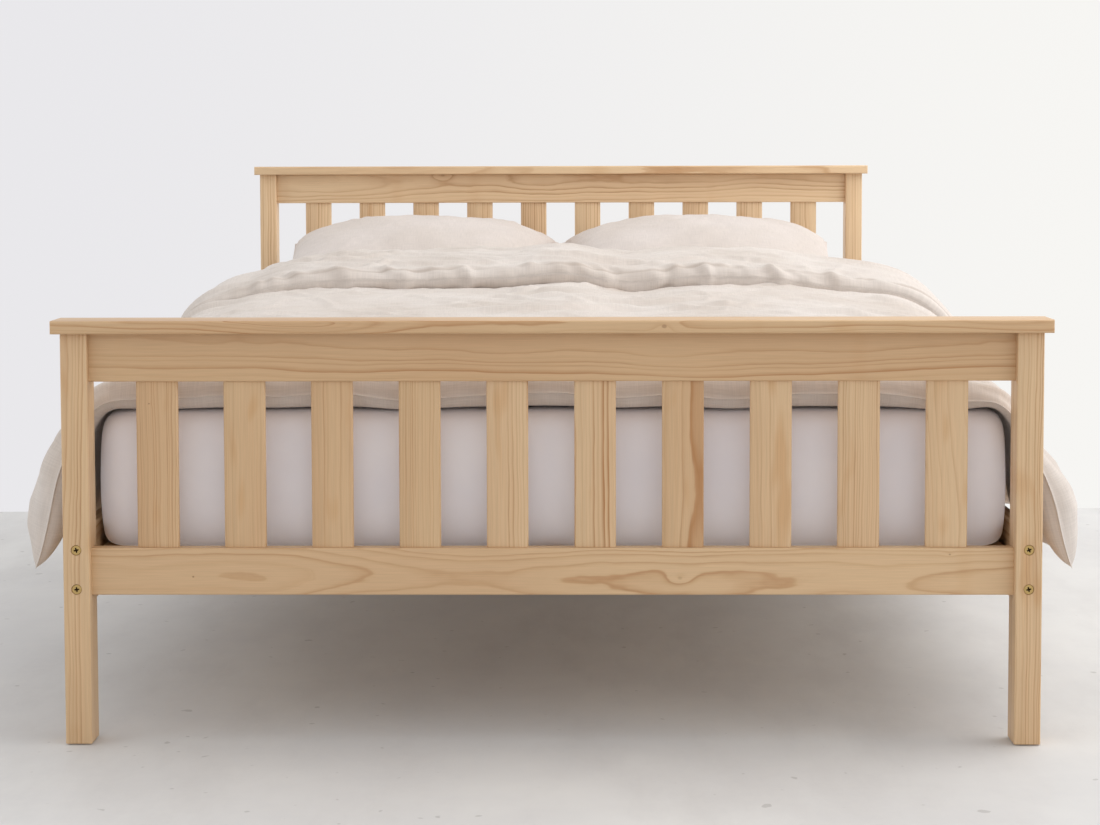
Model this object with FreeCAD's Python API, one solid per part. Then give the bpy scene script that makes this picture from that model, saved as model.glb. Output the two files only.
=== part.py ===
import FreeCAD, Part
import math
import os

# A pine spindle bed for a 140 x 200 cm mattress, with its mattress, fitted sheet, duvet and two
# pillows. Millimetres. +X to the right, +Y towards the headboard, +Z up. The origin is on the floor
# under the middle of the bed.

# ---- driving dimensions -------------------------------------------------------------------------

# mattress and the room that the frame leaves around it
mattress_length = 1984         # as made, for a bed sold as 200 cm
mattress_width = 1400
mattress_height = 220          # with the fitted sheet on
mattress_cap_clearance = 1     # so that it lifts out past the caps
mattress_side_gap = 9          # to the side rails, at each side

# heights above the floor
glide_thickness = 2
foot_post_top = 628
head_post_top = 848
bottom_rail_underside = 228
side_rail_underside = 209
slat_top = 286                 # what the mattress lies on

# posts, caps and rails of the two boards
post_width = 40
post_depth = 50
cap_thickness = 20
cap_overhang = 12
board_rail_thickness = 22
bottom_rail_height = 72
foot_top_rail_height = 74
head_top_rail_height = 70
rail_tenon_length = 14
rail_tenon_thickness = 10
rail_tenon_shoulder = 10

# spindles: the flat upright slats of both boards
spindle_count = 10
spindle_width = 63
spindle_thickness = 12
spindle_tenon_length = 10
spindle_tenon_thickness = 8
spindle_tenon_shoulder = 7

# eased edges
post_ease = 1.5
rail_ease = 1.5
spindle_ease = 2
slat_ease = 1.5
cap_round = 3.5
cap_end_ease = 1.5

# sides of the regular prisms that small round pieces and their holes are made as
slim_sides = 10
head_sides = 18

# side rails, cleats and the slatted base
side_rail_thickness = 22
side_rail_height = 120
cleat_thickness = 22
cleat_height = 35
cleat_setback = 60             # from each end of the side rail
bed_slat_count = 13
bed_slat_width = 75
bed_slat_thickness = 16
bed_slat_end_gap = 5           # to the side rails
centre_rail_width = 34
centre_rail_height = 42
tape_width = 20
tape_thickness = 0.8
tape_spacing = 900

# steel bracket under each end of the centre rail
bracket_gauge = 2
bracket_flange = 16
bracket_reach = 34
bracket_height = 36
bracket_screw_height = 22      # above the bottom rail's underside
bracket_play = 0.5

# fasteners
bolt_spacing = 60
bolt_shank = 6
bolt_hole = 7
bolt_head = 15
bolt_head_height = 3
bolt_head_ease = 0.7
counterbore_clearance = 1
recess_width = 1.8
recess_span = 7.5
recess_depth = 2
nut_slot = 1.5                 # width and depth of the nut's screwdriver slot
nut_diameter = 10
nut_length = 16
nut_setback = 35               # from the rail's end to the barrel nut
nut_cover = 3                  # wood left outside the barrel nut
bolt_past_nut = 8
dowel_diameter = 8
dowel_length = 40
cap_dowel_depth = 12           # how far a dowel stands in the cap
cap_dowel_length = 34
dowel_end_play = 1
screw_shank = 4
screw_head = 8
screw_head_height = 3.5
cleat_screw_length = 38
cleat_screw_count = 5
slat_screw_length = 30
bracket_screw_length = 16
glide_diameter = 32

# bedding
sheet_thickness = 1.2
sheet_hem = 90                 # how far the fitted sheet runs in under the mattress
mattress_corner = 45
mattress_edge_inset = 16
mattress_edge_height = 26
mattress_edge_bulge = 3.2      # inset where the edge is two fifths rounded
mattress_crown = 3
mattress_crown_inset = 128     # from where the top starts to crown
duvet_lift = 2                 # air between the mattress and the duvet
duvet_cap_clearance = 2        # so that it lifts off past the foot cap
duvet_pillow_gap = 30          # from the fold to the pillows
duvet_foot_top = 556
duvet_fold_top = 640
duvet_shoulder = 150           # how far in from the mattress side the top starts to fall
duvet_shoulder_drop = 16
duvet_shoulder_bow = 40
duvet_crown = 14               # rise of the top between the shoulders
duvet_side_swell = 112         # how far the hanging side stands out from the mattress
duvet_upper_swell = 81         # the same at the height of the mattress top
duvet_side_thickness = 28
duvet_side_bow = 10
duvet_side_drop = 34           # from the mattress top to where the side hangs free
duvet_hem_bow = 4
duvet_inner_bow = 8
duvet_edge_bow = 18            # round the mattress's upper edge
duvet_hem_height = 262         # of the duvet's lower edge above the floor
duvet_wave = 10                # depth of the folds in the hanging sides
duvet_wave_count = 4
duvet_sections_per_wave = 4
flap_length = 385              # of the part that is folded back
flap_rise = 70
flap_hem_rise = -12            # of the flap's top over the duvet's, where the flap is thinnest
flap_shoulder = 100            # how far in from the mattress side the flap starts to fall
flap_shoulder_drop = 14
flap_shoulder_bow = 36
flap_upper_swell = 100         # how far it stands out from the mattress at the mattress's height
flap_side_swell = 128
flap_side_thickness = 34
flap_side_bow = 9
flap_hem_height = 300
flap_sink = 30                 # how deep the flap lies in the duvet under it
flap_stations = [(0, 0.8), (0.05, 0.9), (0.25, 0.95), (0.6, 1.05), (0.85, 1.0), (0.97, 0.7), (1, 0.5)]
pillow_width = 646
pillow_length = 476
pillow_thickness = 198
pillow_edge = 9
pillow_side_edge = 6.5         # half the height of the two narrow sides
pillow_fullness = 1.1          # a higher power makes the pillow fall away sooner to its sides
pillow_corner_droop = 18
pillow_tilt = 17
pillow_gap = 6                 # between the two pillows
pillow_cap_clearance = 2       # so that a pillow lifts past the head cap
pillow_draw_in = 16
pillow_sections = 15

# straight pieces that a bowed line of the duvet, and of a pillow, is divided into
bow_pieces = 3
pillow_bow_pieces = 10

# ---- what follows from them ---------------------------------------------------------------------

half_mattress = mattress_width / 2
rail_inner_x = half_mattress + mattress_side_gap
post_x = rail_inner_x + side_rail_thickness / 2
post_inner_x = post_x - post_width / 2
mattress_end_gap = cap_overhang + mattress_cap_clearance
inner_length = mattress_length + 2 * mattress_end_gap
board_y = (inner_length + post_depth) / 2
side_rail_end = inner_length / 2
side_rail_middle = side_rail_underside + side_rail_height / 2
bottom_rail_top = bottom_rail_underside + bottom_rail_height
cleat_top = slat_top - bed_slat_thickness
cleat_end = side_rail_end - cleat_setback
cleat_inner_x = rail_inner_x - cleat_thickness
board_rail_inner_y = board_y - board_rail_thickness / 2
spindle_gap = (2 * post_inner_x - spindle_count * spindle_width) / (spindle_count + 1)
bolt_heights = [side_rail_middle - bolt_spacing / 2, side_rail_middle + bolt_spacing / 2]
mattress_top = slat_top + mattress_height
duvet_start_y = -side_rail_end + cap_overhang + duvet_cap_clearance

X = FreeCAD.Vector(1, 0, 0)
Y = FreeCAD.Vector(0, 1, 0)
Z = FreeCAD.Vector(0, 0, 1)


# ---- helpers ------------------------------------------------------------------------------------

def point(x, y, z):
    return FreeCAD.Vector(x, y, z)


def block(x_range, y_range, z_range):
    """A box between two limits on each axis."""
    size = [high - low for low, high in (x_range, y_range, z_range)]
    corner = point(x_range[0], y_range[0], z_range[0])
    return Part.makeBox(size[0], size[1], size[2], corner)


def around(middle, width):
    """The range of the given width about a middle."""
    return (middle - width / 2, middle + width / 2)


def edges_along(shape, axis):
    """The straight edges that run along an axis."""
    found = []
    for edge in shape.Edges:
        if isinstance(edge.Curve, Part.Line) and abs(edge.tangentAt(edge.FirstParameter).dot(axis)) > 0.999:
            found.append(edge)
    return found


def eased_bar(x_range, y_range, z_range, axis, ease):
    """A bar with its four long edges planed off."""
    bar = block(x_range, y_range, z_range)
    return bar.makeChamfer(ease, edges_along(bar, axis))


def ring(diameter, height, sides):
    """A regular polygon about the Z axis, its corners on a circle."""
    corners = []
    for index in range(sides + 1):
        turn = 2 * math.pi * (index + 0.5) / sides
        corners.append(point(diameter / 2 * math.cos(turn), diameter / 2 * math.sin(turn), height))
    return Part.makePolygon(corners)


def tapered_rod(diameter, end_diameter, start, direction, length, sides):
    solid = Part.makeLoft([ring(diameter, 0, sides), ring(end_diameter, length, sides)], True, True)
    solid.Placement = FreeCAD.Placement(start, FreeCAD.Rotation(Z, direction))
    return solid


def rod(diameter, start, direction, length, sides=slim_sides):
    return tapered_rod(diameter, diameter, start, direction, length, sides)


def bowed(start, end, rise, pieces):
    """Points from start up to before end, on an arc in an XZ plane that rises to the left of the way."""
    if rise == 0:
        return [start]
    along = end - start
    sideways = point(-along.z, 0, along.x)
    sideways.normalize()
    arc = Part.Arc(start, (start + end) * 0.5 + sideways * rise, end)
    return arc.toShape().discretize(pieces + 1)[:-1]


def flat_face(corners):
    return Part.Face(Part.makePolygon(corners + corners[:1]))


def skinned(rings):
    """A solid over a row of closed rings with as many points each, in flat triangles."""
    faces = [flat_face(rings[0]), flat_face(rings[-1])]
    for here, there in zip(rings, rings[1:]):
        for index in range(len(here)):
            following = (index + 1) % len(here)
            faces.append(flat_face([here[index], here[following], there[following]]))
            faces.append(flat_face([here[index], there[following], there[index]]))
    solid = Part.makeSolid(Part.makeShell(faces))
    if solid.Volume < 0:
        solid.reverse()
    return solid


def cut_all(shape, tools):
    return shape.cut(Part.makeCompound(tools))


def save(name, shape):
    """Write one sub-part, and stop if it isn't sound."""
    if not shape.isValid() or shape.Volume <= 0:
        raise ValueError(name + " isn't a sound solid")
    shape.exportStep("parts/" + name + ".step")
    print(name, "%d solid(s)" % len(shape.Solids), "%.0f mm3" % shape.Volume)


# ---- fasteners ----------------------------------------------------------------------------------

def screw(start, direction, length):
    """A countersunk wood screw, its head flush at start."""
    head = tapered_rod(screw_head, screw_shank, start, direction, screw_head_height, slim_sides)
    neck = start + direction * screw_head_height
    shank = rod(screw_shank, neck, direction, length - screw_head_height)
    return head.fuse(shank).removeSplitter()


def bolt(x, board_side, height):
    """A cross-recessed machine bolt through a post, its head flush with the board's outer face."""
    outer_y = board_side * (board_y + post_depth / 2)
    inward = Y * -board_side
    start = point(x, outer_y, height)
    length = post_depth + nut_setback + bolt_past_nut
    face = tapered_rod(bolt_head - 2 * bolt_head_ease, bolt_head, start, inward, bolt_head_ease, head_sides)
    rim_start = start + inward * bolt_head_ease
    rim = rod(bolt_head, rim_start, inward, bolt_head_height - bolt_head_ease, head_sides)
    shank = rod(bolt_shank, rim_start, inward, length - bolt_head_ease)
    body = face.fuse([rim, shank]).removeSplitter()
    depth_range = sorted([outer_y, outer_y - board_side * recess_depth])
    wide = block(around(x, recess_span), depth_range, around(height, recess_width))
    tall = block(around(x, recess_width), depth_range, around(height, recess_span))
    return cut_all(body, [wide, tall])


def bolt_hole_at(x, board_side, height):
    """Counterbore and clearance hole for one bolt, right through the post."""
    outer_y = board_side * (board_y + post_depth / 2)
    inward = Y * -board_side
    start = point(x, outer_y, height)
    counterbore = rod(bolt_head + counterbore_clearance, start, inward, bolt_head_height, head_sides)
    return [counterbore, rod(bolt_hole, start, inward, post_depth)]


def barrel_nut(side, end, height):
    """The cross nut in a side rail, threaded for the bolt and slotted on its inner face."""
    inner_x = side * (rail_inner_x + side_rail_thickness - nut_cover - nut_length)
    nut_y = end * (side_rail_end - nut_setback)
    nut = rod(nut_diameter, point(inner_x, nut_y, height), X * side, nut_length)
    thread = rod(bolt_shank, point(side * post_x, nut_y - nut_diameter, height), Y, 2 * nut_diameter)
    slot_x = sorted([inner_x, inner_x + side * nut_slot])
    slot = block(slot_x, around(nut_y, nut_diameter), around(height, nut_slot))
    return cut_all(nut, [thread, slot])


def rail_end_holes(side, end):
    """Bolt, barrel nut and dowel holes in one end of a side rail."""
    x = side * post_x
    end_y = end * side_rail_end
    holes = []
    for height in bolt_heights:
        depth = nut_setback + bolt_past_nut + dowel_end_play
        holes.append(rod(bolt_hole, point(x, end_y, height), Y * -end, depth))
        mouth = point(side * rail_inner_x, end * (side_rail_end - nut_setback), height)
        holes.append(rod(nut_diameter, mouth, X * side, side_rail_thickness - nut_cover))
    depth = dowel_length / 2 + dowel_end_play
    holes.append(rod(dowel_diameter, point(x, end_y, side_rail_middle), Y * -end, depth))
    return holes


def cap_dowel(x, board_side, post_top):
    start = point(x, board_side * board_y, post_top + cap_dowel_depth)
    return rod(dowel_diameter, start, Z * -1, cap_dowel_length)


def cap_dowel_hole(x, board_side, post_top):
    start = point(x, board_side * board_y, post_top + cap_dowel_depth + dowel_end_play)
    return rod(dowel_diameter, start, Z * -1, cap_dowel_length + 2 * dowel_end_play)


# ---- head and foot boards -----------------------------------------------------------------------

def rail_tenons(board_side, underside, height):
    """The two stub tenons of a board's cross rail."""
    y_range = around(board_side * board_y, rail_tenon_thickness)
    z_range = (underside + rail_tenon_shoulder, underside + height - rail_tenon_shoulder)
    tenons = []
    for side in (-1, 1):
        x_range = sorted([side * post_inner_x, side * (post_inner_x + rail_tenon_length)])
        tenons.append(block(x_range, y_range, z_range))
    return tenons


def spindle_middle(index):
    return -post_inner_x + (index + 1) * spindle_gap + (index + 0.5) * spindle_width


def spindle_tenons(index, board_side, lower_end, upper_end):
    x_range = around(spindle_middle(index), spindle_width - 2 * spindle_tenon_shoulder)
    y_range = around(board_side * board_y, spindle_tenon_thickness)
    low = block(x_range, y_range, (lower_end - spindle_tenon_length, lower_end))
    high = block(x_range, y_range, (upper_end, upper_end + spindle_tenon_length))
    return [low, high]


def post(side, board_side, post_top, top_rail_height):
    """A corner post with its mortises, bolt holes and dowel holes."""
    x_range = around(side * post_x, post_width)
    y_range = around(board_side * board_y, post_depth)
    body = eased_bar(x_range, y_range, (glide_thickness, post_top), Z, post_ease)
    holes = rail_tenons(board_side, post_top - top_rail_height, top_rail_height)
    holes += rail_tenons(board_side, bottom_rail_underside, bottom_rail_height)
    for height in bolt_heights:
        holes += bolt_hole_at(side * post_x, board_side, height)
    inner_y = board_side * side_rail_end
    depth = dowel_length / 2 + dowel_end_play
    holes.append(rod(dowel_diameter, point(side * post_x, inner_y, side_rail_middle), Y * board_side, depth))
    holes.append(cap_dowel_hole(side * post_x, board_side, post_top))
    return cut_all(body, holes)


def cross_rail(board_side, underside, height, lower_end, upper_end):
    """A board's cross rail, tenoned into the posts and mortised for the spindles."""
    x_range = (-post_inner_x, post_inner_x)
    y_range = around(board_side * board_y, board_rail_thickness)
    body = eased_bar(x_range, y_range, (underside, underside + height), X, rail_ease)
    body = body.fuse(rail_tenons(board_side, underside, height))
    mortises = []
    for index in range(spindle_count):
        mortises += spindle_tenons(index, board_side, lower_end, upper_end)
    return cut_all(body, mortises)


def spindle(index, board_side, lower_end, upper_end):
    """A flat upright slat with eased edges and a stub tenon at each end."""
    x_range = around(spindle_middle(index), spindle_width)
    y_range = around(board_side * board_y, spindle_thickness)
    body = eased_bar(x_range, y_range, (lower_end, upper_end), Z, spindle_ease)
    return body.fuse(spindle_tenons(index, board_side, lower_end, upper_end))


def cap(board_side, post_top):
    """The flat board on top, overhanging the posts all round, with rounded long edges."""
    half_width = post_x + post_width / 2 + cap_overhang
    x_range = (-half_width, half_width)
    y_range = around(board_side * board_y, post_depth + 2 * cap_overhang)
    body = block(x_range, y_range, (post_top, post_top + cap_thickness))
    body = body.makeChamfer(cap_end_ease, edges_along(body, Z))
    long_edges = [edge for edge in edges_along(body, X) if edge.Length > half_width]
    body = body.makeFillet(cap_round, long_edges)
    return cut_all(body, [cap_dowel_hole(side * post_x, board_side, post_top) for side in (-1, 1)])


def save_board(board, board_side, post_top, top_rail_height):
    """Every piece of one end of the bed."""
    lower_end = bottom_rail_top
    upper_end = post_top - top_rail_height
    for name, side in (("left", -1), ("right", 1)):
        save(board + "_post_" + name, post(side, board_side, post_top, top_rail_height))
    save(board + "_cap", cap(board_side, post_top))
    save(board + "_top_rail", cross_rail(board_side, upper_end, top_rail_height, lower_end, upper_end))
    save(board + "_bottom_rail",
         cross_rail(board_side, bottom_rail_underside, bottom_rail_height, lower_end, upper_end)
         .cut(Part.makeCompound(bracket_screws(board_side))))
    for index in range(spindle_count):
        name = board + "_spindle_%02d" % (index + 1)
        save(name, spindle(index, board_side, lower_end, upper_end))


# ---- side rails and slatted base ----------------------------------------------------------------

def bed_slat_middle(index):
    first = -cleat_end + bed_slat_width / 2
    return first + index * (2 * cleat_end - bed_slat_width) / (bed_slat_count - 1)


def cleat_screws(side):
    screws = []
    start_x = side * cleat_inner_x
    height = cleat_top - cleat_height / 2
    for index in range(cleat_screw_count):
        y = (index - (cleat_screw_count - 1) / 2) * 2 * cleat_end / cleat_screw_count
        screws.append(screw(point(start_x, y, height), X * side, cleat_screw_length))
    return screws


def slat_screws(side):
    """One screw at this side in the first and the last bed slat."""
    x = side * (cleat_inner_x + cleat_thickness / 2)
    return [screw(point(x, bed_slat_middle(index), slat_top), Z * -1, slat_screw_length)
            for index in (0, bed_slat_count - 1)]


def bracket_screws(board_side):
    flange_x = centre_rail_width / 2 + bracket_play + bracket_gauge + bracket_flange / 2
    plate_y = board_side * (board_rail_inner_y - bracket_gauge)
    height = bottom_rail_underside + bracket_screw_height
    return [screw(point(side * flange_x, plate_y, height), Y * board_side, bracket_screw_length)
            for side in (-1, 1)]


def all_screws():
    screws = []
    for side in (-1, 1):
        screws += cleat_screws(side) + slat_screws(side) + bracket_screws(side)
    return screws


def side_rail(side):
    x_range = around(side * post_x, side_rail_thickness)
    y_range = (-side_rail_end, side_rail_end)
    z_range = around(side_rail_middle, side_rail_height)
    body = eased_bar(x_range, y_range, z_range, Y, rail_ease)
    holes = rail_end_holes(side, -1) + rail_end_holes(side, 1) + cleat_screws(side)
    return cut_all(body, holes)


def cleat(side):
    """The ledge screwed to a side rail, which carries the bed slats."""
    x_range = sorted([side * rail_inner_x, side * cleat_inner_x])
    z_range = (cleat_top - cleat_height, cleat_top)
    bar = block(x_range, (-cleat_end, cleat_end), z_range)
    inner_edges = [edge for edge in edges_along(bar, Y) if abs(edge.CenterOfMass.x) < cleat_inner_x + 1]
    bar = bar.makeChamfer(rail_ease, inner_edges)
    return cut_all(bar, cleat_screws(side) + slat_screws(side))


def bed_slat(index):
    half = rail_inner_x - bed_slat_end_gap
    y_range = around(bed_slat_middle(index), bed_slat_width)
    bar = eased_bar((-half, half), y_range, (cleat_top, slat_top), X, slat_ease)
    return cut_all(bar, slat_screws(-1) + slat_screws(1)) if index in (0, bed_slat_count - 1) else bar


def centre_rail():
    end = board_rail_inner_y - bracket_gauge - bracket_play
    z_range = (cleat_top - centre_rail_height, cleat_top)
    return eased_bar(around(0, centre_rail_width), (-end, end), z_range, Y, rail_ease)


def bracket(board_side):
    """A folded steel saddle on the bottom rail, under the end of the centre rail."""
    inner_half = centre_rail_width / 2 + bracket_play
    outer_half = inner_half + bracket_gauge
    seat = cleat_top - centre_rail_height
    wall_y = board_side * board_rail_inner_y
    plate_y = sorted([wall_y, wall_y - board_side * bracket_gauge])
    reach_y = sorted([wall_y, wall_y - board_side * bracket_reach])
    top = seat + bracket_height
    plate_half = outer_half + bracket_flange
    shell = block((-outer_half, outer_half), reach_y, (seat - bracket_gauge, top))
    trough_y = sorted([wall_y - board_side * bracket_gauge, wall_y - board_side * (bracket_reach + 1)])
    shell = shell.cut(block((-inner_half, inner_half), trough_y, (seat, top + 1)))
    plate = block((-plate_half, plate_half), plate_y, (seat, top))
    plate = plate.makeChamfer(bracket_gauge * 2, edges_along(plate, Y))
    return cut_all(shell.fuse(plate), bracket_screws(board_side))


def slat_tape(side):
    """The webbing tape that links the bed slats, stapled under them."""
    x_range = around(side * tape_spacing / 2, tape_width)
    z_range = (cleat_top - tape_thickness, cleat_top)
    return block(x_range, (-cleat_end, cleat_end), z_range)


def glide(side, board_side):
    """The nylon disc under a post."""
    start = point(side * post_x, board_side * board_y, 0)
    return rod(glide_diameter, start, Z, glide_thickness, head_sides)


def corner_list():
    return [(side, end) for side in (-1, 1) for end in (-1, 1)]


def save_base():
    for name, side in (("left", -1), ("right", 1)):
        save("side_rail_" + name, side_rail(side))
        save("cleat_" + name, cleat(side))
    for index in range(bed_slat_count):
        save("bed_slat_%02d" % (index + 1), bed_slat(index))
    save("centre_rail", centre_rail())
    save("centre_rail_brackets", Part.makeCompound([bracket(-1), bracket(1)]))
    save("slat_tapes", Part.makeCompound([slat_tape(-1), slat_tape(1)]))


def save_fasteners():
    bolts = []
    nuts = []
    dowels = []
    for side, end in corner_list():
        for height in bolt_heights:
            bolts.append(bolt(side * post_x, end, height))
            nuts.append(barrel_nut(side, end, height))
        start = point(side * post_x, end * (side_rail_end - dowel_length / 2), side_rail_middle)
        dowels.append(rod(dowel_diameter, start, Y * end, dowel_length))
        dowels.append(cap_dowel(side * post_x, end, foot_post_top if end < 0 else head_post_top))
    save("bolts", Part.makeCompound(bolts))
    save("barrel_nuts", Part.makeCompound(nuts))
    save("dowels", Part.makeCompound(dowels))
    save("screws", Part.makeCompound(all_screws()))
    save("glides", Part.makeCompound([glide(side, end) for side, end in corner_list()]))


# ---- mattress and fitted sheet ------------------------------------------------------------------

def rounded_rectangle(half_x, half_y, radius, height):
    """A closed outline of four lines and four corner arcs."""
    outline = block((-half_x, half_x), (-half_y, half_y), (height, height + 1))
    outline = outline.makeFillet(radius, edges_along(outline, Z))
    bottom = [face for face in outline.Faces if face.BoundBox.ZMax < height + 0.01]
    return bottom[0].OuterWire


def mattress_form(skin):
    """The padded block, less a skin all round: sides swell a little, edges round over, top crowns."""
    inset = mattress_edge_inset
    edge = mattress_edge_height
    low = slat_top + skin
    high = mattress_top - skin
    shoulder = high - mattress_crown
    levels = [(low, inset), (low + edge * 0.4, mattress_edge_bulge), (low + edge * 2, 0),
              (shoulder - edge * 2, 0), (shoulder - edge * 0.4, mattress_edge_bulge),
              (shoulder, inset), (high, mattress_crown_inset)]
    wires = []
    for height, draw_in in levels:
        half_x = half_mattress - skin - draw_in
        half_y = mattress_length / 2 - skin - draw_in
        wires.append(rounded_rectangle(half_x, half_y, mattress_corner, height))
    return Part.makeLoft(wires, True, True)


def fitted_sheet():
    """The cotton skin over the mattress, open underneath inside its hem."""
    skin = mattress_form(0).cut(mattress_form(sheet_thickness))
    half_x = half_mattress - sheet_hem
    half_y = mattress_length / 2 - sheet_hem
    opening = block((-half_x, half_x), (-half_y, half_y), (slat_top - 1, slat_top + sheet_thickness))
    return skin.cut(opening)


# ---- duvet --------------------------------------------------------------------------------------

def section_ring(right_side, y):
    """A closed section, symmetric about the bed's middle.

    right_side lists x, z and the bow of the line to the next point, from the right end of the top
    round to the right end of the underside.
    """
    rights = [point(x, y, z) for x, z, bow in right_side]
    lefts = [point(-x, y, z) for x, z, bow in right_side]
    bows = [bow for x, z, bow in right_side]
    ring_points = bowed(lefts[0], rights[0], duvet_crown, 2 * bow_pieces)
    for index in range(len(rights) - 1):
        ring_points += bowed(rights[index], rights[index + 1], bows[index], bow_pieces)
    ring_points.append(rights[-1])
    for index in range(len(rights) - 1, 0, -1):
        ring_points += bowed(lefts[index], lefts[index - 1], bows[index - 1], bow_pieces)
    return ring_points


def duvet_top_at(y, fold_y):
    share = (y - duvet_start_y) / (fold_y - duvet_start_y)
    return duvet_foot_top + (duvet_fold_top - duvet_foot_top) * share


def duvet_section(y, fold_y, wave):
    """The duvet hung over the mattress: a thick arch with rounded hems.

    The outer line runs from the crowned top over the shoulder and down the side to the hem, the
    inner line back up and along the mattress top.
    """
    underside = mattress_top + duvet_lift
    hem = duvet_hem_height - wave
    side_x = half_mattress + duvet_upper_swell + wave / 2
    hem_x = half_mattress + duvet_side_swell - duvet_side_bow + wave
    side_z = underside - duvet_side_drop
    hem_z = hem + duvet_side_thickness / 2
    right_side = [
        (half_mattress - duvet_shoulder, duvet_top_at(y, fold_y) - duvet_shoulder_drop, duvet_shoulder_bow),
        (side_x, side_z, duvet_side_bow),
        (hem_x, hem_z, duvet_hem_bow),
        (hem_x - duvet_side_thickness / 2, hem, duvet_hem_bow),
        (hem_x - duvet_side_thickness, hem_z, -duvet_inner_bow),
        (side_x - duvet_side_thickness, side_z, -duvet_edge_bow),
        (half_mattress - mattress_corner / 2, underside, 0),
    ]
    return section_ring(right_side, y)


def duvet_body(fold_y):
    """Foot edge to fold. The folds of the hanging sides come from waves between the sections."""
    steps = duvet_wave_count * duvet_sections_per_wave
    rings = []
    for index in range(steps + 1):
        y = duvet_start_y + (fold_y - duvet_start_y) * index / steps
        wave = duvet_wave * math.cos(2 * math.pi * index / duvet_sections_per_wave)
        rings.append(duvet_section(y, fold_y, wave))
    return skinned(rings)


def flap_section(y, fold_y, share):
    """The folded-back layer, sunk into the duvet that it lies on. share is of its full height."""
    base = duvet_top_at(y, fold_y)
    rise = flap_hem_rise + flap_rise * share
    shoulder_x = half_mattress - flap_shoulder
    side_x = half_mattress + flap_upper_swell * share
    hem_x = half_mattress + flap_side_swell - flap_side_bow
    inner_x = hem_x - flap_side_thickness
    hem_z = flap_hem_height + duvet_hem_bow
    right_side = [
        (shoulder_x, base + rise - flap_shoulder_drop, flap_shoulder_bow),
        (side_x, mattress_top, flap_side_bow),
        (hem_x, hem_z, duvet_hem_bow),
        (inner_x, hem_z, -flap_side_bow),
        (side_x - flap_side_thickness, mattress_top - duvet_side_drop, -duvet_edge_bow),
        (shoulder_x, base - flap_sink, 0),
    ]
    return section_ring(right_side, y)


def duvet_flap(fold_y):
    """From the flap's hem, over the crest, to the rounded fold."""
    return skinned([flap_section(fold_y - (1 - along) * flap_length, fold_y, share)
                    for along, share in flap_stations])


# ---- pillows ------------------------------------------------------------------------------------

def pillow_ring(x, half_length, half_height, droop):
    """A lens of two arcs joined by a narrow edge at front and back, in a YZ plane."""
    edge = pillow_edge / 2
    ring_points = []
    for way in (1, -1):
        start = point(x, -way * half_length, way * edge - droop)
        end = point(x, way * half_length, way * edge - droop)
        arc = Part.Arc(start, point(x, 0, way * half_height - droop), end)
        ring_points += arc.toShape().discretize(pillow_bow_pieces + 1)
    return ring_points


def pillow_form():
    """A filled pillow lying flat about the origin, crowned, with drawn-in sides and corners."""
    rings = []
    for index in range(pillow_sections):
        angle = math.pi * (index / (pillow_sections - 1) - 0.5)
        across = math.sin(angle)
        swell = math.cos(angle) ** pillow_fullness
        half_length = pillow_length / 2 - pillow_draw_in * (1 - across * across)
        half_height = pillow_side_edge + (pillow_thickness - pillow_edge) / 2 * swell
        droop = pillow_corner_droop * across ** 4
        rings.append(pillow_ring(across * pillow_width / 2, half_length, half_height, droop))
    return skinned(rings)


def placed_pillow(side):
    """The pillow leaning against the headboard, with its lower edge on the mattress."""
    form = pillow_form()
    form.rotate(point(0, 0, 0), X, pillow_tilt)
    box = form.BoundBox
    back_y = side_rail_end - cap_overhang - pillow_cap_clearance
    seat = mattress_top + duvet_lift / 2
    middle_x = side * (pillow_width + pillow_gap) / 2
    form.translate(point(middle_x, back_y - box.YMax, seat - box.ZMin))
    return form


def save_bedding():
    save("mattress", mattress_form(sheet_thickness))
    save("fitted_sheet", fitted_sheet())
    pillow_left = placed_pillow(-1)
    fold_y = pillow_left.BoundBox.YMin - duvet_pillow_gap
    save("duvet", duvet_body(fold_y).fuse(duvet_flap(fold_y)))
    save("pillow_left", pillow_left)
    save("pillow_right", placed_pillow(1))


os.makedirs("parts", exist_ok=True)
save_board("foot", -1, foot_post_top, foot_top_rail_height)
save_board("head", 1, head_post_top, head_top_rail_height)
save_base()
save_fasteners()
save_bedding()
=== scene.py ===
"""Looks for the pine spindle bed: woods, metals, bedding, floor, light and camera. Metres."""

import math
import random

import bpy
import numpy as np
from mathutils import Matrix, Vector


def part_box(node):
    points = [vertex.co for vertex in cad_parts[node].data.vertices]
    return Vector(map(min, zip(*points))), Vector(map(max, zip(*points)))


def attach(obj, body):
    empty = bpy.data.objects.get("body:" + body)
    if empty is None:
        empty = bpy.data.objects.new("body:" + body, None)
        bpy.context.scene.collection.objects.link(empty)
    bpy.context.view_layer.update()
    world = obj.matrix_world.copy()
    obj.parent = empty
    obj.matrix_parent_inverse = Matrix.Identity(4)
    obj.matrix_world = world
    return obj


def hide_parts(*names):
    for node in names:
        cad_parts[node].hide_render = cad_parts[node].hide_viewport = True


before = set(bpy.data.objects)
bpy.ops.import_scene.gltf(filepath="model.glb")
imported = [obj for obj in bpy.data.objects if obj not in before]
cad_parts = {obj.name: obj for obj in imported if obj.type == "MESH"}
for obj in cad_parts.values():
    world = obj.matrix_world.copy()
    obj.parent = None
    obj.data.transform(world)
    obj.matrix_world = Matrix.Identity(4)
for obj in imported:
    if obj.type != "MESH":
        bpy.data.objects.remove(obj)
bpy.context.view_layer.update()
scene = bpy.context.scene

# ---- camera and room ------------------------------------------------------------------------------

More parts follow.
